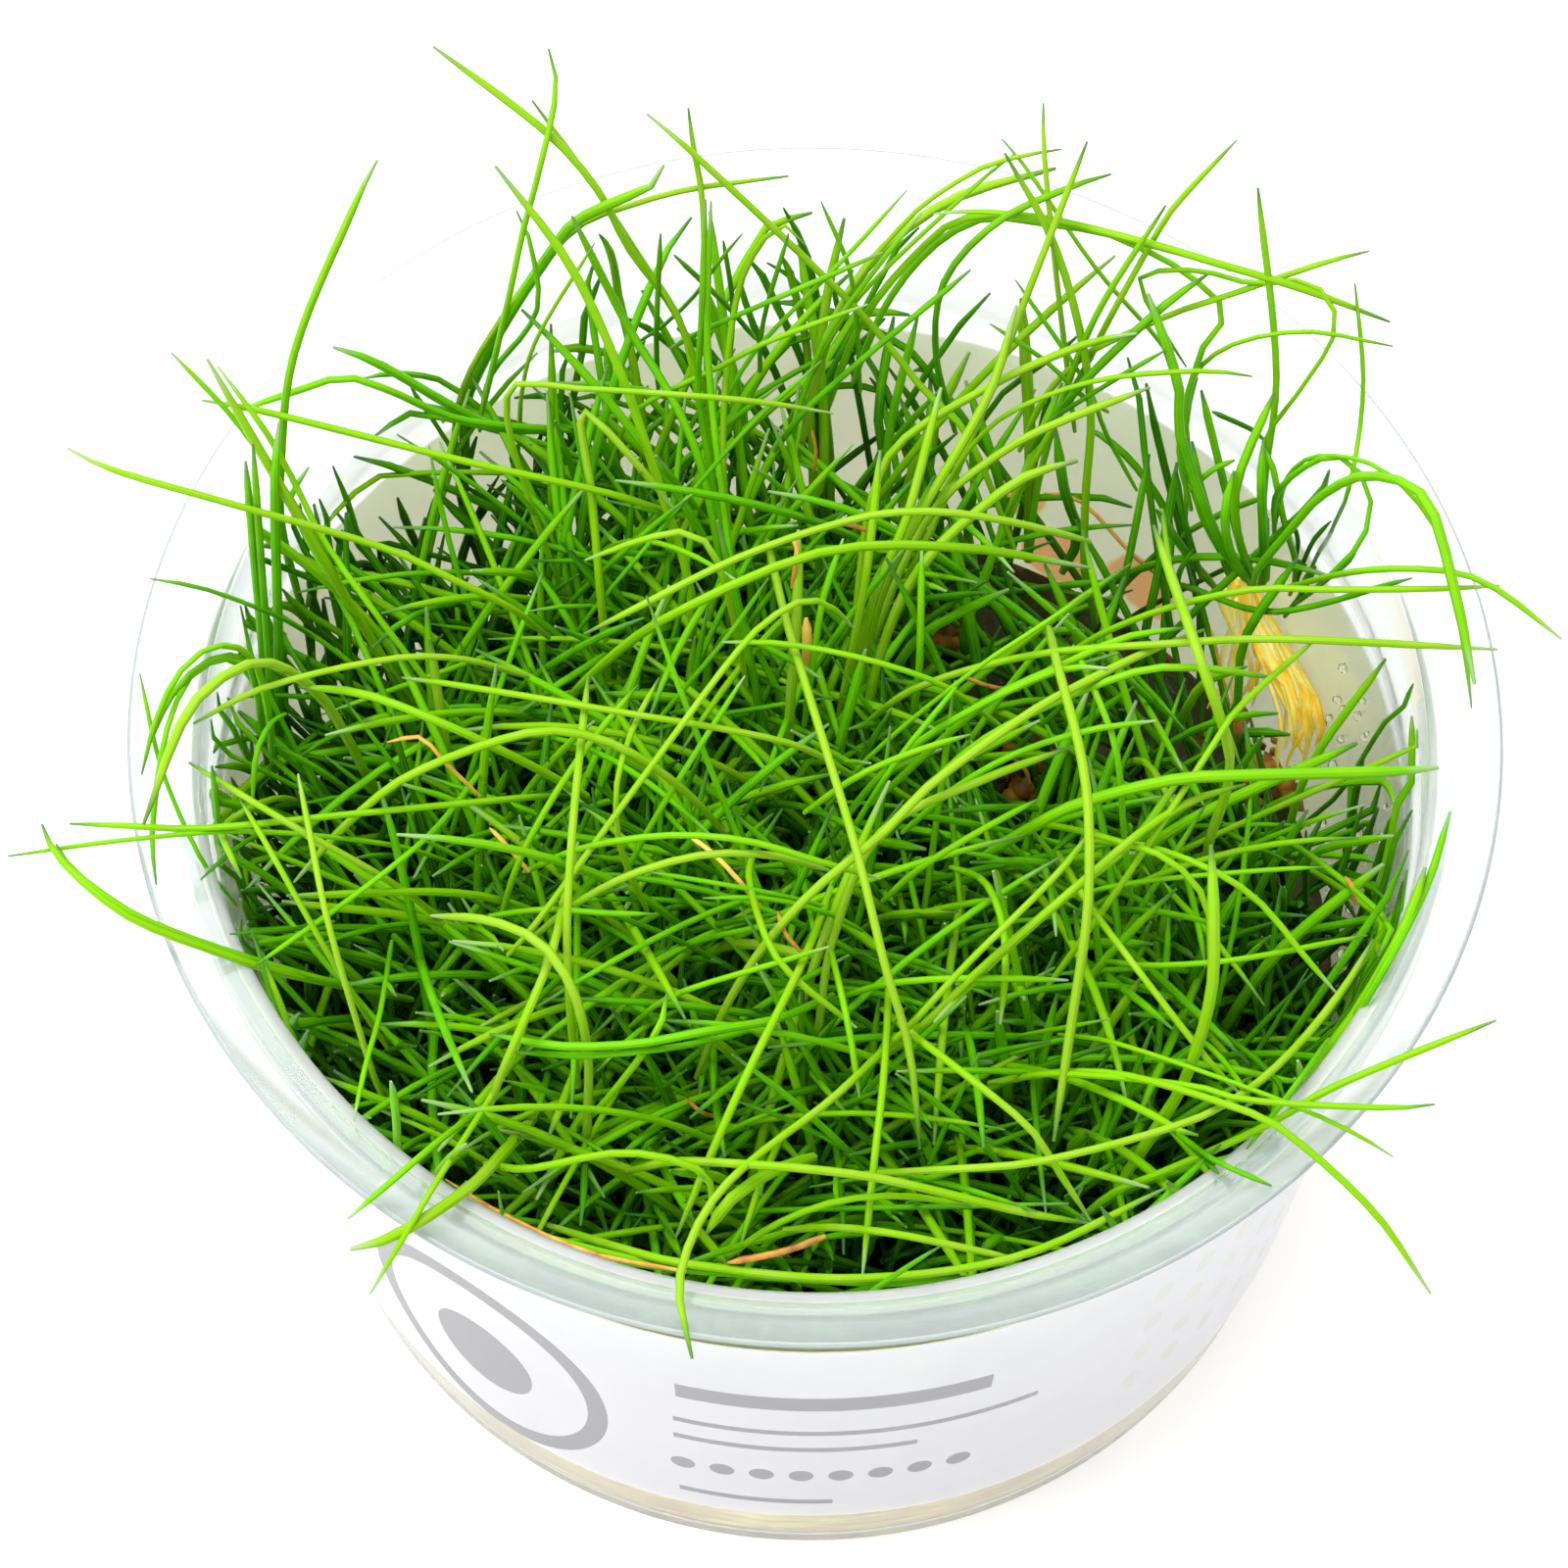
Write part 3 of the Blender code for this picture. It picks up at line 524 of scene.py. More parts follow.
    def build(self) -> bpy.types.Material:
        """Makes the material."""
        shader = Shader("printed_film")
        place = shader.place()
        parts = shader.parts(place)
        turn = shader.math("ARCTAN2", parts["X"], shader.math("MULTIPLY", parts["Y"], -1.0))
        across = shader.math("MULTIPLY", turn, self.radius)
        height = shader.math("MULTIPLY", parts["Z"], 1.0 / MM)
        grain = shader.noise(place, self.grain_scale)
        paper = shader.mix(shader.spread(grain, 0.35, 0.65), *self.white)
        green = shader.math("MULTIPLY", self.green_print(shader, across, height), self.green_share)
        paper = shader.mix(green, paper, self.green_ink)
        grey = shader.math("MULTIPLY", self.grey_print(shader, across, height), self.ink_share)
        paper = shader.mix(grey, paper, self.ink)
        reach = shader.length(parts["X"], parts["Y"], (0.0, 0.0), (1.0, 1.0))
        sleeve = shader.math("SUBTRACT", reach, shader.math("MULTIPLY", parts["Z"], self.inner_lean))
        inner = shader.math("LESS_THAN", sleeve, self.inner_radius)
        spots = shader.math("MULTIPLY", self.inner_spots(shader, place, grain), inner)
        # Inside, the film gets the paler colour and a little glow of its own: painted light.
        colour = shader.mix(spots, shader.mix(inner, paper, self.inner_white_and_painted_light), self.blotch)
        glow = shader.mix(inner, BLACK, colour)
        shader.set(Base_Color=colour, Roughness=self.roughness, Emission_Color=glow,
                   Emission_Strength=self.inner_painted_light, Subsurface_Weight=1.0,
                   Subsurface_Radius=self.scatter_radius, Subsurface_Scale=self.scatter_scale)
        return shader.material


@dataclass(frozen=True)
class Droplet:
    """Clear water drops on the cup's wall."""

    ior: float = 1.333

    def build(self) -> bpy.types.Material:
        """Makes the material."""
        shader = Shader("water_drop")
        shader.set(Base_Color=(1.0, 1.0, 1.0, 1.0), Transmission_Weight=1.0, IOR=self.ior, Roughness=0.0)
        return shader.material


# The photograph's camera and the light

@dataclass(frozen=True)
class PhotoCamera:
    """The camera that the photograph was taken with, fitted to the cup's rings.

    Distance, aim and shifts are millimetres, elevation is degrees and roll radians. The focal length and the
    frame are pixels of the photograph, and the sensor is millimetres.
    """

    distance: float = 700.0
    elevation: float = 60.981
    aim_height: float = 60.5
    shift_up: float = -4.301
    shift_right: float = -2.212
    roll: float = -0.01829
    focal_pixels: float = 9830.6
    frame_pixels: float = 1600.0
    sensor: float = 36.0

    def place_of(self, column: float, row: float, height: float) -> tuple[float, float]:
        """The place at a height that a pixel of the photograph shows.

        Args:
            column: pixels from the photograph's left edge.
            row: pixels from its top edge.
            height: millimetres above the cup's base.

        Returns:
            x and y in millimetres.
        """
        lift = math.radians(self.elevation)
        rise, run = math.sin(lift), math.cos(lift)
        across = (column - self.frame_pixels / 2.0) / self.focal_pixels
        above = (self.frame_pixels / 2.0 - row) / self.focal_pixels
        right = math.cos(self.roll) * across + math.sin(self.roll) * above
        up = math.cos(self.roll) * above - math.sin(self.roll) * across
        drop = self.distance * rise + self.shift_up * run - (height - self.aim_height)
        far = drop / (rise - up * run)
        return (self.shift_right + right * far,
                self.shift_up * rise - self.distance * run + (up * rise + run) * far)

    def build(self) -> None:
        """Sets the camera where the photograph was taken from."""
        lift = math.radians(self.elevation)
        back = Vector((0.0, -math.cos(lift), math.sin(lift)))
        right = Vector((1.0, 0.0, 0.0))
        up = Vector((0.0, math.sin(lift), math.cos(lift)))
        place = Vector((0.0, 0.0, self.aim_height)) + back * self.distance
        place += right * self.shift_right + up * self.shift_up
        turned_right = (right - up * self.roll).normalized()
        turned_up = (up + right * self.roll).normalized()
        data = bpy.data.cameras.new("photo_camera")
        data.sensor_width = self.sensor
        data.lens = self.focal_pixels / self.frame_pixels * self.sensor
        data.clip_start = 0.01
        data.clip_end = 10.0
        camera = bpy.data.objects.new("photo_camera", data)
        matrix = Matrix((turned_right, turned_up, back)).transposed().to_4x4()
        matrix.translation = place * MM
        camera.matrix_world = matrix
        bpy.context.scene.collection.objects.link(camera)
        bpy.context.scene.camera = camera


@dataclass(frozen=True)
class Lamp:
    """A soft round light that looks at the grass. Its place and width are in metres, its power in watts."""

    name: str
    place: tuple[float, float, float]
    width: float
    power: float
    target: tuple[float, float, float] = (0.0, 0.0, 0.04)

    def build(self) -> None:
        """Makes the light."""
        data = bpy.data.lights.new(self.name, "AREA")
        data.shape = "DISK"
        data.size = self.width
        data.energy = self.power
        lamp = bpy.data.objects.new(self.name, data)
        lamp.location = self.place
        aim = Vector(self.target) - Vector(self.place)
        lamp.rotation_euler = aim.to_track_quat("-Z", "Y").to_euler()
        bpy.context.scene.collection.objects.link(lamp)


@dataclass(frozen=True)
class Studio:
    """Soft white light and a white table. The sky's band of grey draws the clear cup's edges."""

    sky: tuple[tuple[float, float], ...] = ((0.0, 1.0), (0.1, 1.0), (0.25, 0.82), (0.6, 0.97), (1.0, 1.0))
    sky_strength: float = 1.01
    lamps: tuple[Lamp, ...] = (Lamp("overhead", (-0.15, 0.25, 0.9), 0.7, 7.6),
                               Lamp("left_fill", (-0.8, -0.3, 0.6), 0.5, 3.8))
    table_grey: float = 0.65
    table_glow: float = 0.5
    table_size: float = 3000.0
    table_drop: float = 0.05

    def build(self) -> None:
        """Makes the world, the lights and the table."""
        self.make_world()
        for lamp in self.lamps:
            lamp.build()
        self.make_table()

    def make_world(self) -> None:
        """Gives a white sky, a little darker in a band above the horizon."""
        world = bpy.data.worlds.new("soft_sky")
        world.use_nodes = True
        bpy.context.scene.world = world
        tree = world.node_tree
        background = tree.nodes["Background"]
        coords = tree.nodes.new("ShaderNodeTexCoord")
        split = tree.nodes.new("ShaderNodeSeparateXYZ")
        ramp = tree.nodes.new("ShaderNodeValToRGB")
        tree.links.new(coords.outputs["Generated"], split.inputs[0])
        tree.links.new(split.outputs["Z"], ramp.inputs["Fac"])
        tree.links.new(ramp.outputs["Color"], background.inputs["Color"])
        set_stops(ramp.color_ramp, [(place, (grey, grey, grey)) for place, grey in self.sky])
        background.inputs["Strength"].default_value = self.sky_strength

    def make_table(self) -> None:
        """A plain white table, a little bright by itself, as on a light table."""
        shader = Shader("white_table")
        shader.set(Base_Color=(self.table_grey,) * 3 + (1.0,), Roughness=0.9,
                   Emission_Color=(1.0, 1.0, 1.0, 1.0), Emission_Strength=self.table_glow)
        bm = bmesh.new()
        bmesh.ops.create_grid(bm, x_segments=1, y_segments=1, size=self.table_size)
        bmesh.ops.translate(bm, vec=(0.0, 0.0, -self.table_drop), verts=bm.verts)
        floor = mesh_object("table_top", bm, shader.material)


# The cup, its label and its gel

class Zone(IntEnum):
    """Which of the cup's plastics a face has."""

    CLEAR = 0
    MILKY_PAINTED_LIGHT = 1
    EDGE = 2


@dataclass
class Cup:
    """The clear cup: flat floor, tapered wall, shoulder, collar and a wide flange that rises outwards."""

    base_radius: float = 36.7
    foot_radius: float = 37.4
    lean: float = 0.14
    wall: float = 0.6
    floor: float = 0.8
    shoulder: float = 50.0
    collar_radius: float = 45.35
    collar_top: float = 57.9
    flange_radius: float = 50.0
    flange_edge: float = 60.5
    bare_from: float = 48.7
    steps: int = 192
    blade_room: float = 0.5
    outside: float = 46.5
    flange_slope: float = 0.56
    flange_slope_from: float = 47.5
    plastics: tuple[ClearPlastic, ...] = (
        ClearPlastic(),
        ClearPlastic("milky_painted_light_plastic", (0.97, 0.98, 0.98), clear=0.68),
        ClearPlastic("edge_plastic", (0.62, 0.66, 0.69), clear=0.55))

    def wall_radius(self, height: float) -> float:
        """Radius of the outside of the tapered wall at a height."""
        return self.foot_radius + self.lean * height

    def inner_radius(self, height: float) -> float:
        """Radius of the inside at a height."""
        if height > self.shoulder + 1.0:
            return self.collar_radius - self.wall
        return self.wall_radius(height) - self.wall

    def held_in(self, place: Vector, room: float) -> Vector:
        """The place itself, or the nearest one with some room to the inside of the wall."""
        limit = self.inner_radius(place.z) - room
        reach = math.hypot(place.x, place.y)
        if reach <= limit:
            return place
        squeeze = limit / reach
        return Vector((place.x * squeeze, place.y * squeeze, place.z))

    def flange_blocks(self, x: float, y: float, height: float) -> bool:
        """Whether a blade at a place would run through the collar or the flange, or too close over them."""
        reach = math.hypot(x, y)
        if not self.collar_radius - 0.85 < reach < self.flange_radius + 0.8:
            return False
        rise = max(0.0, reach - self.flange_slope_from) * self.flange_slope
        return self.shoulder + 1.0 < height < self.flange_edge - 0.6 + rise

    def zone(self, reach: float, height: float) -> Zone:
        """The plastic of a face, by its distance from the axis and its height."""
        # Milky rim and band: partly the plastic's haze, partly a painted highlight on the rim bead and painted
        # light over a shadow line above the label.
        on_rim = height > self.collar_top + 0.3 and reach < self.collar_radius + 0.4
        if on_rim or self.bare_from < height < self.shoulder + 1.1:
            return Zone.MILKY_PAINTED_LIGHT
        return Zone.EDGE if reach > self.flange_radius - 0.3 else Zone.CLEAR

    def profile(self) -> Profile:
        """The wall's outline, outside from the base up to the flange and back down inside."""
        collar_foot = self.shoulder + 1.2
        inner_collar = self.collar_radius - self.wall
        shoulder_radius = self.wall_radius(self.shoulder)
        return [
            (0.0, 0.0),
            (self.base_radius, 0.0),
            (self.base_radius + 0.45, 0.12),
            (self.base_radius + 0.75, 0.4),
            (self.wall_radius(1.1), 1.1),
            (self.wall_radius(1.5), 1.5),
            (self.wall_radius(self.bare_from), self.bare_from),
            (self.wall_radius(49.4), 49.4),
            (shoulder_radius, self.shoulder),
            (shoulder_radius + 0.25, self.shoulder + 0.5),
            (self.collar_radius - 0.35, collar_foot),
            (self.collar_radius - 0.2, collar_foot + 0.7),
            (self.collar_radius, self.collar_top - 0.9),
            (self.collar_radius + 0.03, self.collar_top - 0.3),
            (self.collar_radius + 0.25, self.collar_top),
            (self.collar_radius + 0.7, self.collar_top + 0.2),
            (self.flange_radius - 0.5, self.flange_edge - 0.72),
            (self.flange_radius - 0.1, self.flange_edge - 0.5),
            (self.flange_radius, self.flange_edge - 0.25),
            (self.flange_radius - 0.1, self.flange_edge - 0.06),
            (self.flange_radius - 0.3, self.flange_edge),
            (self.collar_radius + 2.2, self.collar_top + 1.22),
            (self.collar_radius + 1.5, self.collar_top + 0.95),
            (self.collar_radius + 1.2, self.collar_top + 0.98),
            (self.collar_radius + 0.5, self.collar_top + 1.05),
            (self.collar_radius - 0.1, self.collar_top + 0.95),
            (inner_collar, self.collar_top + 0.5),
            (inner_collar, self.collar_top - 0.2),
            (inner_collar - 0.25, collar_foot + 0.6),
            (inner_collar - 0.35, collar_foot),
            (shoulder_radius - self.wall + 0.1, self.shoulder + 0.3),
            (shoulder_radius - self.wall, self.shoulder - 0.3),
            (self.wall_radius(49.2) - self.wall, 49.2),
            (self.wall_radius(self.bare_from) - self.wall, self.bare_from),
            (self.wall_radius(2.2) - self.wall, 2.2),
            (self.wall_radius(1.9) - self.wall, 1.9),
            (self.base_radius - 0.1, 1.1),
            (self.base_radius - 0.6, self.floor),
            (0.0, self.floor),
        ]

    def build(self) -> bpy.types.Object:
        """Makes the cup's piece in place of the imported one."""
        clear, *others = [plastic.build() for plastic in self.plastics]
        piece = mesh_object("clear_cup", turned(self.profile(), self.steps), clear, 60.0)
        for material in others:
            piece.data.materials.append(material)
        for face in piece.data.polygons:
            reach, height = math.hypot(face.center.x, face.center.y) / MM, face.center.z / MM
            face.material_index = self.zone(reach, height)
        return show(piece, "clear_plastic", "cup")


@dataclass
class Label:
    """The film sleeve around the wall."""

    cup: Cup
    bottom: float = 8.4
    top: float = 46.5
    top_rise: float = 1.5
    thickness: float = 0.2
    gap: float = 0.3

    def build(self) -> bpy.types.Object:
        """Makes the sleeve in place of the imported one."""
        inside = [(self.cup.wall_radius(z) + self.gap, z) for z in (self.bottom, self.top)]
        outside = [(radius + self.thickness, z) for radius, z in reversed(inside)]
        bm = turned(inside + outside, self.cup.steps)
        for vert in bm.verts:
            if vert.co.z > 0.5 * self.top:
                reach = math.hypot(vert.co.x, vert.co.y)
                rise = -self.top_rise * vert.co.y / reach
                widen = 1.0 + self.cup.lean * rise / reach
                vert.co = Vector((vert.co.x * widen, vert.co.y * widen, vert.co.z + rise))
        piece = mesh_object("label_sleeve", bm, PrintedFilm().build())
        return show(piece, "printed_film", "label")


@dataclass
class Gel:
    """The growing gel, filled against the wall."""

    cup: Cup
    bottom: float = 0.85
    top: float = 22.0
    crown: float = 0.6
    gap: float = 0.05

    def build(self) -> bpy.types.Object:
        """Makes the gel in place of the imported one."""
        high = self.cup.inner_radius(self.top) - self.gap
        profile = [
            (0.0, self.bottom),
            (self.cup.base_radius - 0.65, self.bottom),
            (self.cup.base_radius - 0.16, 1.15),
            (self.cup.inner_radius(1.95) - self.gap, 1.95),
            (high, self.top - 0.4),
            (high - 0.3, self.top - 0.1),
            (high - 1.0, self.top),
            (0.0, self.top + self.crown),
        ]
        piece = mesh_object("gel_block", turned(profile, self.cup.steps), GrowingGel().build())
        return show(piece, "gel", "growing_gel")
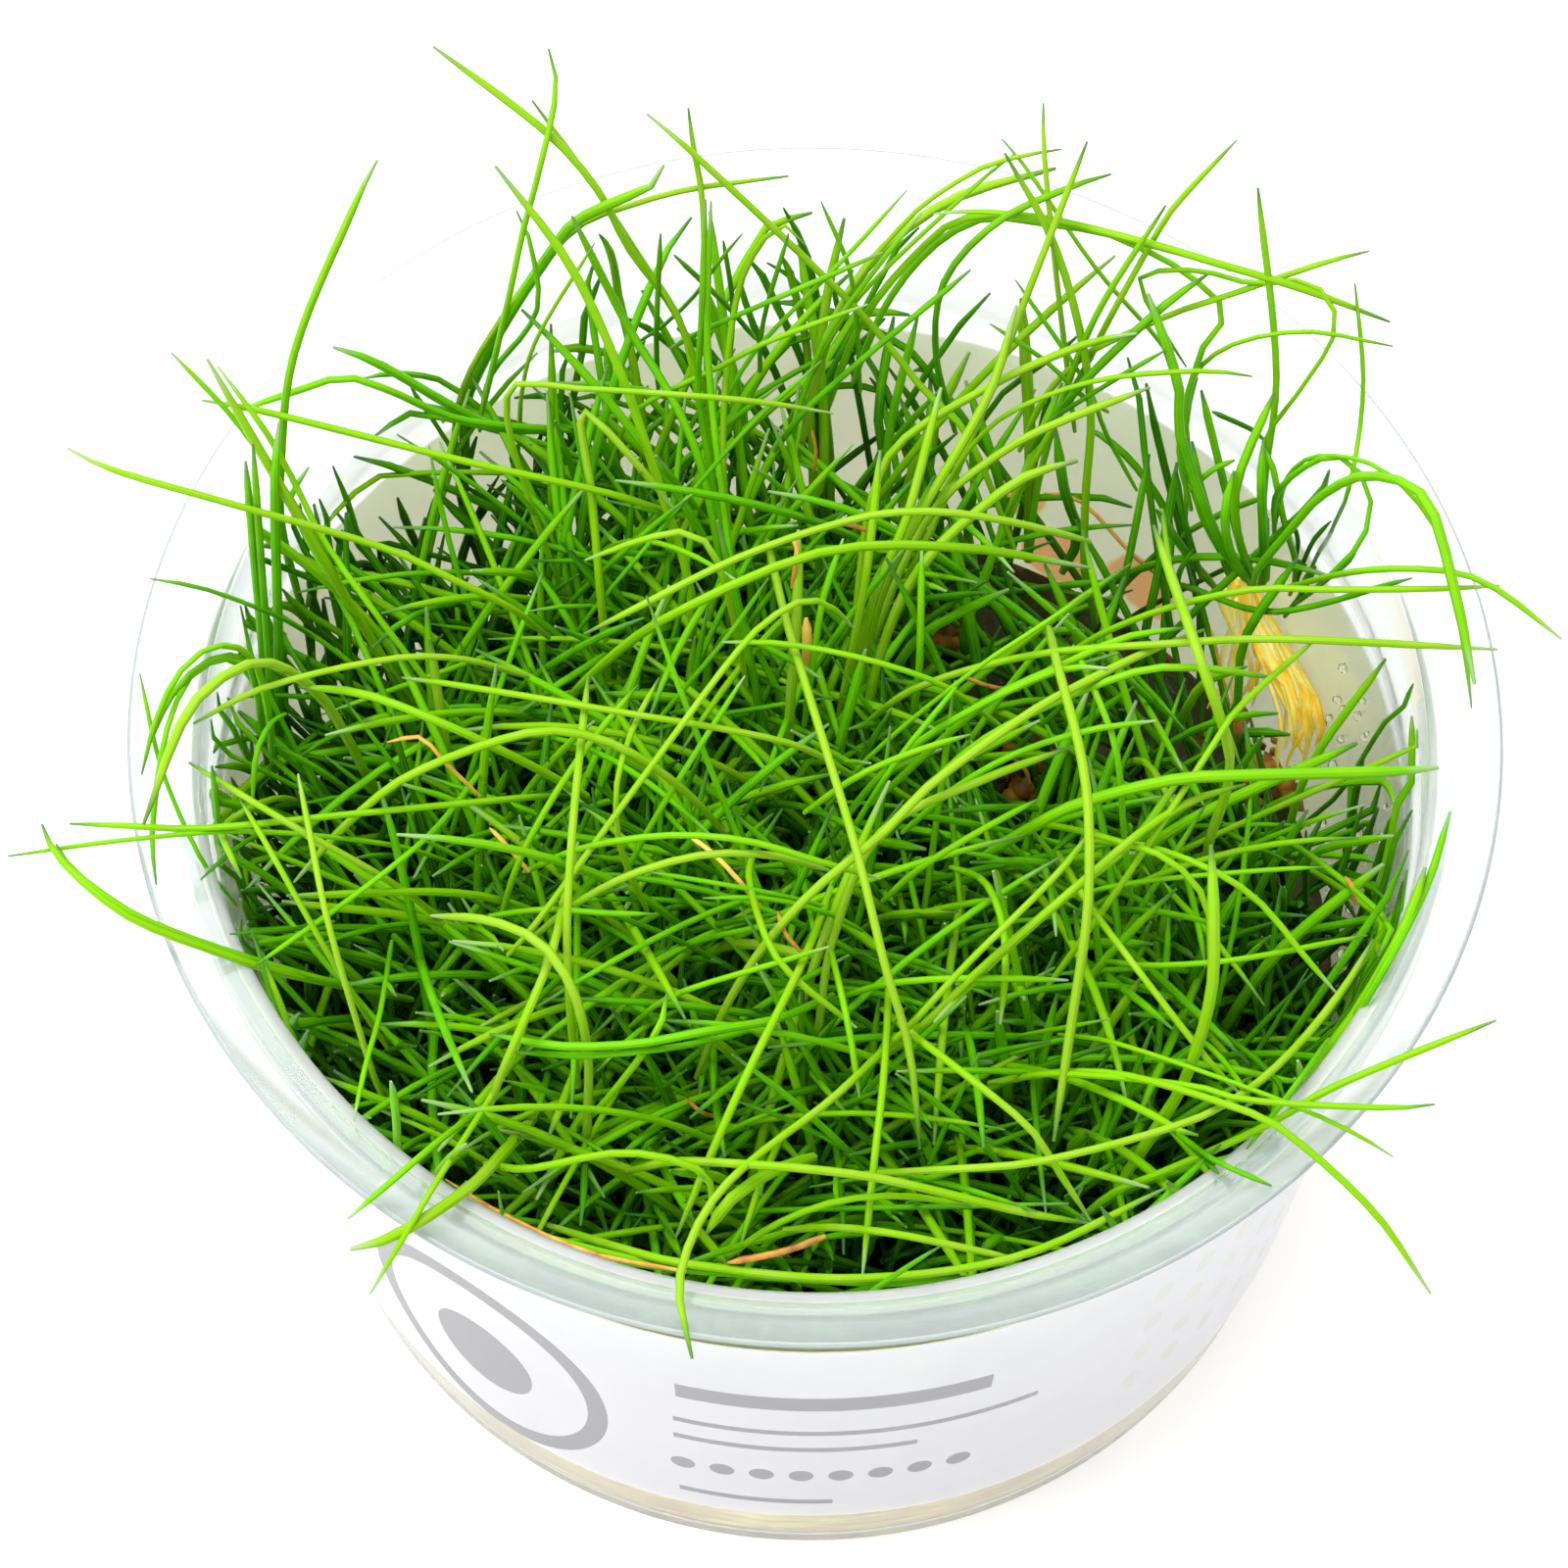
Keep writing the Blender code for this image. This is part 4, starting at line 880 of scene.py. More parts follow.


# Blades

# Blades read off the photograph, each from its tip to its root: its width in pixels, its tone, and
# points with their column and row in pixels and their height above the cup's base in millimetres.
# A blade's tone carries how lit or shaded it looks as well as its own green: partly painted light and shade.
DRAWN_BLADES = """
    9 0.75 442,47,84 560,137,79 610,195,75 640,250,70 695,330,62 715,420,56 745,520,46
    8 0.60 560,50,84 568,90,82 548,180,77 533,235,72 520,300,67 490,430,50
    7 0.80 543,102,80 600,180,75 655,265,68 690,320,64 720,400,56 735,480,46
    8 0.85 660,116,80 700,150,78 865,305,65 905,350,61 945,400,58 985,440,56 1035,560,46
    7 0.80 702,110,80 708,150,77 716,200,74 720,300,66 722,380,58 728,480,46
    8 0.92 805,180,74 710,192,74 660,205,73 585,235,69 490,360,56 465,430,48 455,480,40
    13 0.50 678,168,78 672,185,77 615,212,74 580,232,71 478,400,50 460,460,42
    7 0.35 527,215,70 540,245,69 549,315,64 500,385,54 490,440,46
    9 0.50 583,220,74 645,340,62 680,395,60 710,460,57 730,540,52 745,640,44
    5 0.75 607,247,72 548,345,63 532,400,56 530,450,48
    8 0.40 720,203,78 716,330,67 712,400,60 725,480,54 740,560,50 765,680,40
    8 0.50 725,205,78 722,360,65 742,540,56 757,640,50 790,780,38
    6 0.15 674,238,72 670,340,61 672,400,52
    7 0.20 688,260,70 740,310,62 770,345,56
    5 0.12 757,238,72 735,265,69 710,300,64 680,330,60 650,350,56
    6 0.15 738,246,70 748,310,60 745,360,54
    7 0.88 822,250,70 806,232,71 788,232,71 753,300,65 738,460,56 755,620,44
    6 0.22 805,238,72 778,330,62 775,390,54
    6 0.40 838,205,76 868,280,68 878,400,52
    6 0.50 926,194,77 860,265,71 770,360,60 735,420,54 700,500,44
    7 0.40 900,258,72 850,280,70 715,338,61 685,355,56
    6 0.70 885,310,68 780,350,65 740,372,62 665,408,58 640,430,54 620,480,48
    11 0.38 340,354,66 380,368,65 500,433,55 560,438,52 630,425,50
    9 0.50 240,420,62 300,400,65 350,385,66 390,395,65 470,428,58 600,440,50
    9 0.82 205,409,68 260,418,67 480,472,64 620,503,60 685,523,56
    10 0.55 385,163,82 365,200,81 300,360,71 286,480,61 288,540,54 292,620,44
    7 0.60 175,359,72 240,430,67 310,530,58 345,590,50
    8 0.70 222,374,70 270,440,67 300,490,63 330,550,60 380,620,58 440,700,52 500,780,44
    9 0.85 69,457,72 110,478,71.5 220,510,70 400,562,64 460,590,62 520,620,58 560,650,50
    6 0.20 153,591,66 205,600,65 280,628,60 320,650,52
    6 0.50 143,687,68 160,770,64 178,820,61 205,875,57 235,925,50
    8 0.55 145,790,62 158,740,67 180,690,70 210,662,70 240,660,68 262,680,64 275,730,56 280,790,44
    8 0.40 150,765,62 172,715,67 200,682,69 230,668,68 255,680,64 272,780,44
    7 0.50 159,903,58 155,850,61 170,745,67 195,690,68 230,672,66 260,700,58 270,760,46
    8 0.30 258,452,74 275,680,54 280,760,42
    11 0.38 285,430,70 280,480,68 285,680,50 284,780,38
    9 0.40 250,470,72 268,660,55 275,740,44
    6 0.50 257,822,56 262,770,59 275,740,58 292,728,54
    6 0.60 8,874,63 120,858,64.5 250,848,63 393,861,58 460,880,48
    8 0.75 71,841,62 130,843,63.5 200,845,64 360,831,63.5 520,815,60 565,812,54
    10 0.75 43,841,64 60,875,65 130,935,64 230,975,60 280,990,57 420,1020,42
    8 0.60 57,862,64 80,893,65 150,940,63.5 316,996,54 400,1010,44
    6 0.10 205,898,60 235,870,61 262,852,58 290,850,52
    7 0.55 257,987,58 290,965,59 380,900,61 440,850,60 500,775,52
    5 0.10 235,953,57 300,948,57 340,940,54
    8 0.97 1064,105,80 1065,150,78 1076,260,71 1090,380,60 1097,440,52
    9 0.90 1110,145,80 1048,300,70 1010,400,62 950,540,52 920,600,46
    6 0.70 1023,142,76 1045,170,75 1120,275,67 1185,350,58 1205,390,52
    9 0.30 1134,178,76 1095,190,76 1020,225,73 965,285,67 955,360,59 975,440,48
    6 0.88 1083,152,76 1040,160,76 1000,172,75 930,220,71 860,310,64 805,440,50
    6 0.70 1035,158,75 1000,185,74 880,300,64 840,360,58 800,440,48
    8 0.85 1262,143,82 1200,210,76 1180,240,73 1130,330,66 1105,380,61 1050,480,52 1020,540,44
    7 0.60 1190,210,78 1120,320,68 1080,420,57 1060,490,50 1050,560,42
    8 0.60 1283,192,80 1303,380,65 1290,490,54 1288,560,46
    8 0.85 1398,256,72 1350,268,72 1250,303,70 1200,318,68 1150,340,66 1110,360,63 1070,400,58 \
        1040,460,50
    9 0.75 1418,329,68 1330,295,72 1230,265,74 1180,250,74 1060,222,72 1000,220,71 960,235,69 \
        885,320,62 840,430,48
    9 0.60 1267,278,72 1220,262,73 1120,235,72.5 1070,228,71 1010,222,70 970,238,68 930,275,64 \
        900,320,60 870,390,52
    8 0.55 952,219,72 1000,216,73 1110,232,73 1160,252,72 1200,272,70 1250,318,68 1228,352,66 \
        1203,450,57 1215,520,50
    6 0.70 1422,353,68 1330,338,70 1250,355,67 1213,400,60 1210,530,48
    6 0.65 1383,289,72 1391,380,65 1388,440,60 1378,490,56 1362,540,51 1345,590,44
    6 0.70 1210,375,60 1180,325,66 1163,284,69 1220,275,71 1280,290,71 1330,287,72 1358,308,71 \
        1361,343,69 1325,400,64 1290,450,58 1285,520,50
    8 0.70 1593,652,66 1530,603,68 1490,585,68 1430,580,67 1380,583,64 1310,600,50
    8 0.78 1530,597,66 1480,600,67 1350,602,67 1290,600,66 1230,610,65 1170,628,62 1110,655,56 \
        1050,700,46
    9 0.88 1528,663,64 1330,653,67 1260,652,67 1200,656,67 1060,668,64 940,700,56 880,740,46
    6 0.50 1502,722,62 1495,670,66 1470,550,71 1410,480,69 1345,465,64 1315,485,59 1300,540,50
    7 0.45 1340,600,56 1365,580,60 1390,550,63 1398,510,65 1383,475,66 1355,465,65 1305,500,58 \
        1300,545,50
    14 0.62 1468,783,62 1430,787,63 1260,792,66 1200,795,66 1100,820,63 1050,845,59 1000,875,50
    9 0.50 1480,828,62 1455,905,60 1400,1010,56 1370,1055,54 1330,1110,50
    12 0.70 1455,885,61 1440,930,58.5 1415,980,57.5 1385,1030,57 1355,1070,56 1310,1125,52
    9 0.75 1527,1041,68 1430,1080,66 1350,1115,63 1300,1145,61 1190,1195,56 1140,1215,52 \
        1100,1245,46
    8 0.72 1464,1127,63 1420,1131,63.5 1270,1122,63 1220,1108,62 1080,1095,57 1020,1105,50
    6 0.72 1421,1180,60 1380,1155,61 1300,1120,62 1140,1065,58 1080,1055,52
    9 0.82 1460,1320,56 1400,1235,60 1305,1150,63 1260,1130,63 1150,1098,60 1080,1095,56 \
        1010,1105,48
    7 0.35 1298,1210,58 1270,1198,59 1240,1185,60 1180,1140,54
    6 0.20 1243,1198,58 1225,1178,58 1195,1150,56
    6 0.40 1272,1172,58 1320,1110,60 1355,1060,57
    14 0.82 1235,862,72 1238,920,71 1237,1010,66 1210,1100,58 1180,1150,52 1140,1210,46
    10 0.97 1075,1165,54 1093,1050,60 1110,920,67 1108,800,70 1079,678,66 1070,640,58
    10 0.97 1228,643,64 1165,668,66 1100,700,67 1050,728,68 950,800,68 900,850,67 830,910,64 \
        780,965,60 740,1030,54 710,1100,46
    9 0.97 1092,762,64 1000,797,66 900,848,65 850,960,57 835,1050,51 825,1130,42
    8 0.50 1095,658,64 1110,690,66 1138,760,65 1148,860,57 1155,920,50
    6 0.82 1268,785,60 1250,740,64 1215,650,67 1200,610,65 1185,520,50
    8 0.75 1232,980,58 1233,930,62 1215,895,64 1180,870,65 1150,862,64 1110,850,60 1060,840,52
    8 0.70 1363,1012,58 1330,975,60 1290,925,62 1250,895,64 1200,873,64 1160,862,62 1110,858,56
    10 0.85 1270,800,62 1220,815,64 1170,845,65 1110,895,66 1000,990,63 950,1040,58 900,1080,50
    8 0.90 1112,850,64 1080,890,66 980,990,65 930,1045,61 880,1090,54
    8 0.85 1345,650,62 1262,725,66 1235,765,66 1160,880,63 1110,950,58 1060,1020,50
    9 0.70 953,1043,60 985,1010,61 1020,975,63 1100,905,64 1150,865,62 1200,800,56
    8 0.85 1265,1115,57 1235,1085,60 1150,975,63 1110,920,60 1080,870,52
    9 0.90 1113,1245,55 1080,1195,58 1051,1152,61 990,1100,62 940,1062,60 900,1030,52
    10 0.90 1110,1248,56 1050,1238,58 900,1203,62 820,1192,63 750,1187,62 690,1185,58 640,1195,50
    9 0.95 1400,960,57 1370,1010,58 1320,1070,59 1270,1115,61 1210,1145,62 1060,1185,62 975,1193,61 \
        880,1198,54
    9 0.80 728,1248,57 718,1197,62 640,1176,63 540,1192,60 495,1187,54
    9 0.85 690,1262,56 755,1110,63 820,980,61 850,900,54
    9 0.90 707,1387,61.5 694,1305,63 735,1215,63 850,1120,60 905,1070,56 950,1040,50
    14 0.80 722,1258,57 745,1225,60 780,1200,60 830,1180,54
    7 0.85 378,1320,60 410,1265,62 440,1215,62 520,1085,57 545,1010,50
    14 0.92 357,1275,62 400,1262,62 475,1215,60 510,1180,56 545,1140,48
    8 0.60 355,1243,61 400,1205,62 440,1170,61 520,1110,50
    6 0.60 361,1143,61 372,1090,60 388,1035,56 400,960,48
    10 0.88 1190,1212,57 1040,1282,57 870,1304,57 700,1290,57 640,1276,56 560,1250,50
    8 0.45 985,1303,56 900,1310,56 660,1292,56 600,1278,54 540,1255,48
    8 0.60 530,1255,56 690,1295,56 760,1301,54
    9 0.90 1040,1285,56 920,1260,59 860,1252,57 800,1255,52
    8 0.75 990,1230,58 920,1220,60 850,1227,60 790,1250,57 740,1285,50
    8 0.85 880,1300,56 893,1180,61 900,1110,61 905,1045,58 908,980,50
    9 0.97 938,1172,54 934,1120,58 925,1060,61 905,990,65 875,870,68 838,750,67 805,640,62 \
        780,540,48
    10 0.50 500,1055,60 570,1068,62 650,1065,62 720,1052,62 790,1040,59 850,1015,52
    8 0.40 520,1073,60 600,1077,61 680,1070,61 740,1058,57 800,1040,50
    8 0.82 874,1048,58 795,982,62 765,905,61 768,870,56
    7 0.60 668,933,62 620,932,62 560,928,60 500,935,54
    6 0.50 665,890,62 780,910,61 840,925,57
    7 0.60 845,966,62 800,980,62 690,1015,59 640,1050,50
    6 0.50 717,917,61 780,917,61 840,930,58 880,950,52
    9 0.70 680,1013,62 672,1050,62 620,1120,56 590,1150,48
    7 0.70 877,1120,57 868,1060,60 858,1010,60 845,960,55
    6 0.60 1350,885,60 1300,887,61 1160,900,60 1090,915,54
    7 0.65 1395,955,57 1260,980,60 1180,985,58 1120,980,50
    13 0.42 1172,300,71 1203,395,65 1203,440,61 1240,545,52 1270,590,46
    11 0.50 1260,480,60 1250,520,58 1255,560,53 1275,595,46
    11 0.60 1300,400,64 1263,490,59 1262,540,54 1278,590,46
    14 0.40 1290,450,62 1287,490,60 1292,590,46
    6 0.45 1036,286,70 1110,395,60 1128,440,54 1160,500,48
    6 0.30 1010,330,68 1070,370,64 1100,400,61 1130,420,57
    11 0.35 1232,280,72 1190,310,70 1110,385,63 1050,460,50
    6 0.20 1190,358,68 1150,380,66 1070,430,58
    6 0.80 1278,384,67 1230,378,68 1110,390,67 1010,435,62 940,540,50
    9 0.97 1174,395,67 1060,440,66 1010,470,63 960,510,60 920,580,54 890,660,46
    8 0.30 990,275,70 830,410,58 790,460,52
    6 0.50 940,218,74 905,260,71 840,350,62 815,420,55 800,480,48
    9 0.92 1160,340,68 1110,350,67 1000,400,65 905,470,60 870,640,48
    10 0.92 1037,312,70 1010,400,66 935,530,60 905,590,56 880,680,49 868,770,40
    11 0.95 1100,470,64 1050,485,64 1000,520,62 950,565,60 915,620,56 890,700,49 880,780,40
    10 0.90 960,395,66 925,530,61 895,600,57 875,680,50 862,760,41
    10 0.85 898,460,64 885,580,59 870,660,53 855,740,44
    9 0.60 940,560,60 940,620,58 938,680,54 930,740,46
    8 0.90 870,640,62 850,620,66 825,612,68 795,625,69 760,655,69 670,775,67 585,890,63 545,945,60 \
        518,975,57
    9 0.95 596,647,64 640,625,66 760,567,68 880,528,68 950,522,68 1020,530,66 1070,542,63 \
        1112,552,58
    8 0.90 597,572,64 650,552,67 695,542,68 722,555,67 740,595,64 762,700,50
    8 0.90 850,422,62 790,412,65 720,405,67 590,397,67 520,396,66 540,510,56 590,640,42
    9 0.92 690,523,58 640,462,63 594,421,65 603,500,60 612,600,54 622,700,44
    6 0.30 838,368,66 760,440,62 650,570,56 600,630,51 560,690,44
    6 0.30 784,590,64 745,645,63 700,700,59 655,755,52
    11 0.97 815,541,64 813,620,60 808,700,54 803,780,45
    7 0.70 737,655,63 800,657,65 880,672,65 960,698,62 1020,740,54
    8 0.85 410,692,62 460,698,64 620,724,67 800,757,63 870,790,54
    10 0.75 305,701,63 370,708,65 450,738,65 520,770,61 600,812,52
    8 0.95 198,738,63 270,702,66.5 400,672,66 470,672,63 540,690,56
    8 0.92 193,778,64 300,843,65 400,900,59 460,945,50
    8 0.95 304,790,64 318,860,66 335,940,66 375,1080,56 395,1130,48
    7 0.85 245,815,64 272,862,66 310,930,64 345,990,60 395,1070,48
    10 0.90 300,900,54 360,835,62 420,790,66 540,747,69 600,750,68 650,772,66 700,808,61 740,850,52
    9 0.90 601,690,65 592,770,67 583,860,67 579,950,64 582,1040,58 590,1110,50
    8 0.85 672,692,64 645,745,66 629,800,66 632,860,62 660,930,52
    10 0.92 590,860,52 575,920,60 560,980,64 535,1040,64 512,1095,61 500,1130,57
    10 0.97 440,935,60 500,940,65 550,962,66 582,1005,65 600,1070,60 600,1140,53 598,1180,46
    8 0.60 898,897,62 840,880,65 760,858,67 680,852,67 600,864,64 535,890,54
    9 0.97 850,890,60 790,873,65 720,872,67 650,890,66 590,920,61 540,960,52
    9 0.55 1130,682,67 1080,683,66 960,742,60 900,790,54 850,850,46
    9 0.60 1300,692,62 1230,682,66 1160,685,67 1020,745,63 950,800,57 900,860,48
    6 0.60 1110,606,66 1060,640,66 1000,680,64 890,770,54 840,830,46
    9 0.55 1210,640,66 1150,650,66 1080,680,65 1010,715,62 890,820,50
    8 0.50 1180,735,66 1110,745,66 1040,768,64 980,800,60 920,850,52
    7 0.50 985,690,62 960,720,62 920,770,60 880,830,54 850,890,46
    8 0.65 990,750,64 940,765,64 880,790,62 820,830,56
    8 0.60 1060,815,62 1000,848,62 940,885,60 900,920,54
    8 0.60 1090,1000,60 1020,998,62 950,1000,62 900,1005,58 850,1020,50
    8 0.70 1020,1045,58 1026,990,61 1022,940,61 1005,900,58 970,885,52
    8 0.70 650,700,62 600,760,63 560,820,62 530,880,58 510,940,50
    7 0.55 760,690,63 690,800,62 660,850,58 630,910,50
    8 0.50 860,550,62 840,610,60 830,670,56 820,740,48
    10 0.50 1222,385,60 1209,430,57 1225,520,50 1268,596,42
    10 0.55 1226,398,60 1250,495,52 1277,598,42
    9 0.40 1216,450,56 1224,490,54 1255,590,43
    8 0.60 1288,450,58 1299,475,57 1310,528,53 1323,580,46 1317,606,42
    6 0.12 1358,531,52 1348,548,50 1337,592,43
    6 0.10 1321,536,50 1332,550,48 1342,566,45
    6 0.30 1383,565,54 1368,580,51 1322,616,44
    7 0.35 1347,575,48 1325,610,43 1310,630,41
    8 0.40 1441,590,58 1300,624,49 1215,600,42 1190,592,38
    7 0.30 1345,572,47 1325,574,47 1300,600,43
    12 0.35 1290,520,52 1290,575,45 1287,600,41
    7 0.55 1260,470,55 1240,478,55 1213,500,52
    8 0.30 1200,480,54 1206,520,50 1225,590,42
    10 0.45 1180,520,52 1215,570,44 1240,600,40
    7 0.35 1218,560,46 1205,580,44 1200,600,41
    6 0.20 1237,420,56 1280,440,53 1290,450,52
"""

# Dried threads and leaves, read in the same way.
DRIED_BLADES = """
    5 0.55 1065,503,42 1100,510,42 1160,570,40 1190,592,38
    8 0.30 742,1288,57.5 800,1277,58.5 842,1261,59
    5 0.60 455,1203,56.5 500,1232,56.8 600,1277,57 700,1298,57
    6 0.90 698,850,62 730,872,62 757,902,61 775,925,59
    5 0.50 794,930,61 800,950,61 817,972,60
    5 0.80 395,757,62 430,752,63 450,775,62 490,812,58
    5 0.60 806,545,64 813,560,64 808,600,61
    11 1.00 822,630,56 823,660,54 821,695,50
    6 0.35 850,533,58 868,536,58 884,541,57
    4 0.50 828,440,56 832,460,54 830,482,52
    6 0.45 1372,895,52 1380,905,52 1383,922,50
    5 0.90 500,845,58 515,860,58 540,890,56
    5 0.40 980,690,52 1010,700,50 1040,705,47
    4 0.70 1235,640,50 1245,680,46 1255,720,42
    5 0.30 1030,770,48 1045,785,47 1050,800,45
    5 0.40 700,1120,50 715,1135,49 735,1140,47
"""

ROOT_WIDTH = 0.7
ROOT_SWELL = 3.0
TAPER_START = 0.86
TAPER_POWER = 1.8
TAPER_DEPTH = 0.68
GOLDEN_ANGLE = 2.399963


@dataclass
class Blade:
    """One blade: its centre line from root to tip in millimetres, its half width and its tone."""

    line: Route
    half_width: float
    tone: float

    def width_at(self, share: float) -> float:
        """Half width at a share of the length from the root: a slim foot, an even run and a tapered tip."""
        swell = min(1.0, ROOT_WIDTH + ROOT_SWELL * share)
        tapered = max(0.0, share - TAPER_START) / (1.0 - TAPER_START)
        return self.half_width * swell * (1.0 - tapered ** TAPER_POWER * TAPER_DEPTH)


def run_length(line: Route) -> float:
    """Length of a line along its points."""
    return sum((b - a).length for a, b in zip(line, line[1:]))


def steps_for(line: Route, spacing: float, fewest: int, most: int) -> int:
    """How many stretches a line is drawn with, at about one for each spacing."""
    return max(fewest, min(most, int(run_length(line) / spacing)))


def smooth_route(points: Route, steps: int) -> Route:
    """Points at equal steps along a smooth curve through the given ones.

    Args:
        points: the points to pass through.
        steps: how many stretches the result has.

    Returns:
        steps + 1 points.
    """
    times = [0.0]
    for a, b in zip(points, points[1:]):
        times.append(times[-1] + max((b - a).length, 1e-6))
    last = len(points) - 1
    slopes = []
    for i in range(len(points)):
        low, high = max(i - 1, 0), min(i + 1, last)
        slopes.append((points[high] - points[low]) / (times[high] - times[low]))
    route = []
    for step in range(steps + 1):
        time = times[-1] * step / steps
        i = min(max(k for k in range(len(points)) if times[k] <= time + 1e-9), last - 1)
        span = times[i + 1] - times[i]
        u = (time - times[i]) / span
        route.append(points[i] * (2 * u ** 3 - 3 * u ** 2 + 1)
                     + slopes[i] * ((u ** 3 - 2 * u ** 2 + u) * span)
                     + points[i + 1] * (3 * u ** 2 - 2 * u ** 3)
                     + slopes[i + 1] * ((u ** 3 - u ** 2) * span))
    return route


class StrandMaker:
    """Turns centre lines into one mesh of round tapering strands through a node group."""

    def __init__(self, sides: int = 6, flatness: float = 0.85) -> None:
        """Builds the node group.

        Args:
            sides: faces around a strand.
            flatness: thickness over width.
        """
        group = bpy.data.node_groups.new("strands", "GeometryNodeTree")
        group.interface.new_socket("Geometry", in_out="INPUT", socket_type="NodeSocketGeometry")
        group.interface.new_socket("Geometry", in_out="OUTPUT", socket_type="NodeSocketGeometry")
        new, link = group.nodes.new, group.links.new
        start, end = new("NodeGroupInput"), new("NodeGroupOutput")
        curve = new("GeometryNodeMeshToCurve")
        width = new("GeometryNodeInputNamedAttribute")
        width.inputs["Name"].default_value = "half_width"
        radius = new("GeometryNodeSetCurveRadius")
        ring = new("GeometryNodeCurvePrimitiveCircle")
        ring.inputs["Resolution"].default_value = sides
        ring.inputs["Radius"].default_value = 1.0
        place = new("GeometryNodeInputPosition")
        store = new("GeometryNodeStoreNamedAttribute")
        store.data_type = "FLOAT_VECTOR"
        store.inputs["Name"].default_value = "edge"
        flat = new("GeometryNodeTransform")
        flat.inputs["Scale"].default_value = (1.0, flatness, 1.0)
        sweep = new("GeometryNodeCurveToMesh")
        sweep.inputs["Fill Caps"].default_value = True
        link(start.outputs[0], curve.inputs["Mesh"])
        link(curve.outputs[0], radius.inputs["Curve"])
        link(width.outputs[0], radius.inputs["Radius"])
        link(ring.outputs[0], store.inputs["Geometry"])
        link(place.outputs[0], store.inputs["Value"])
        link(store.outputs[0], flat.inputs[0])
        link(radius.outputs[0], sweep.inputs["Curve"])
        link(flat.outputs[0], sweep.inputs["Profile Curve"])
        if "Scale" in sweep.inputs:
            link(width.outputs[0], sweep.inputs["Scale"])
        link(sweep.outputs[0], end.inputs[0])
        self.group = group

    def build(self, name: str, blades: list[Blade], material: bpy.types.Material) -> bpy.types.Object:
        """Sweeps every blade and joins them in one piece.

        Args:
            name: the piece's name.
            blades: what to draw.
            material: the finish.

        Returns:
            The linked object with a plain mesh.
        """
        bm = bmesh.new()
        layers = {key: bm.verts.layers.float.new(key) for key in ("half_width", "tone", "along")}
        for blade in blades:
            last = len(blade.line) - 1
            before = None
            for i, point in enumerate(blade.line):
                vert = bm.verts.new(point * MM)
                vert[layers["half_width"]] = blade.width_at(i / last) * MM
                vert[layers["tone"]] = blade.tone
                vert[layers["along"]] = i / last
                if before is not None:
                    bm.edges.new((before, vert))
                before = vert
        wire = bpy.data.meshes.new(name + "_lines")
        bm.to_mesh(wire)
        bm.free()
        carrier = bpy.data.objects.new(name + "_lines", wire)
        bpy.context.scene.collection.objects.link(carrier)
        carrier.modifiers.new("strands", "NODES").node_group = self.group
        graph = bpy.context.evaluated_depsgraph_get()
        mesh = bpy.data.meshes.new_from_object(carrier.evaluated_get(graph))
        bpy.data.objects.remove(carrier)
        bpy.data.meshes.remove(wire)
        mesh.name = name
        mesh.shade_smooth()
        mesh.materials.clear()
        mesh.materials.append(material)
        made = bpy.data.objects.new(name, mesh)
        bpy.context.scene.collection.objects.link(made)
        return made


@dataclass(frozen=True)
class Growth:
    """How one layer of the grass grows. Lengths and half widths are millimetres, leans and bends degrees."""

    count: int
    lengths: Range
    leans: Range
    bends: Range
    half_widths: Range
    tones: Range
    steps: int


class Layer(Enum):
    """The layers of the grass, in the order in which they grow."""

    # Lower layers get darker tones and the top layer lighter ones: partly the blades' own colour, partly painted
    # shade and light.
    UNDERGROWTH = Growth(700, (16.0, 38.0), (12.0, 58.0), (0.0, 30.0), (0.22, 0.35), (0.05, 0.45), 7)
    MIDDLE = Growth(850, (26.0, 46.0), (8.0, 42.0), (10.0, 60.0), (0.22, 0.36), (0.2, 0.7), 10)
    EDGE = Growth(280, (15.0, 27.0), (0.0, 18.0), (5.0, 60.0), (0.24, 0.38), (0.05, 0.4), 8)
    TOP = Growth(330, (34.0, 56.0), (6.0, 34.0), (45.0, 85.0), (0.24, 0.38), (0.35, 0.9), 16)


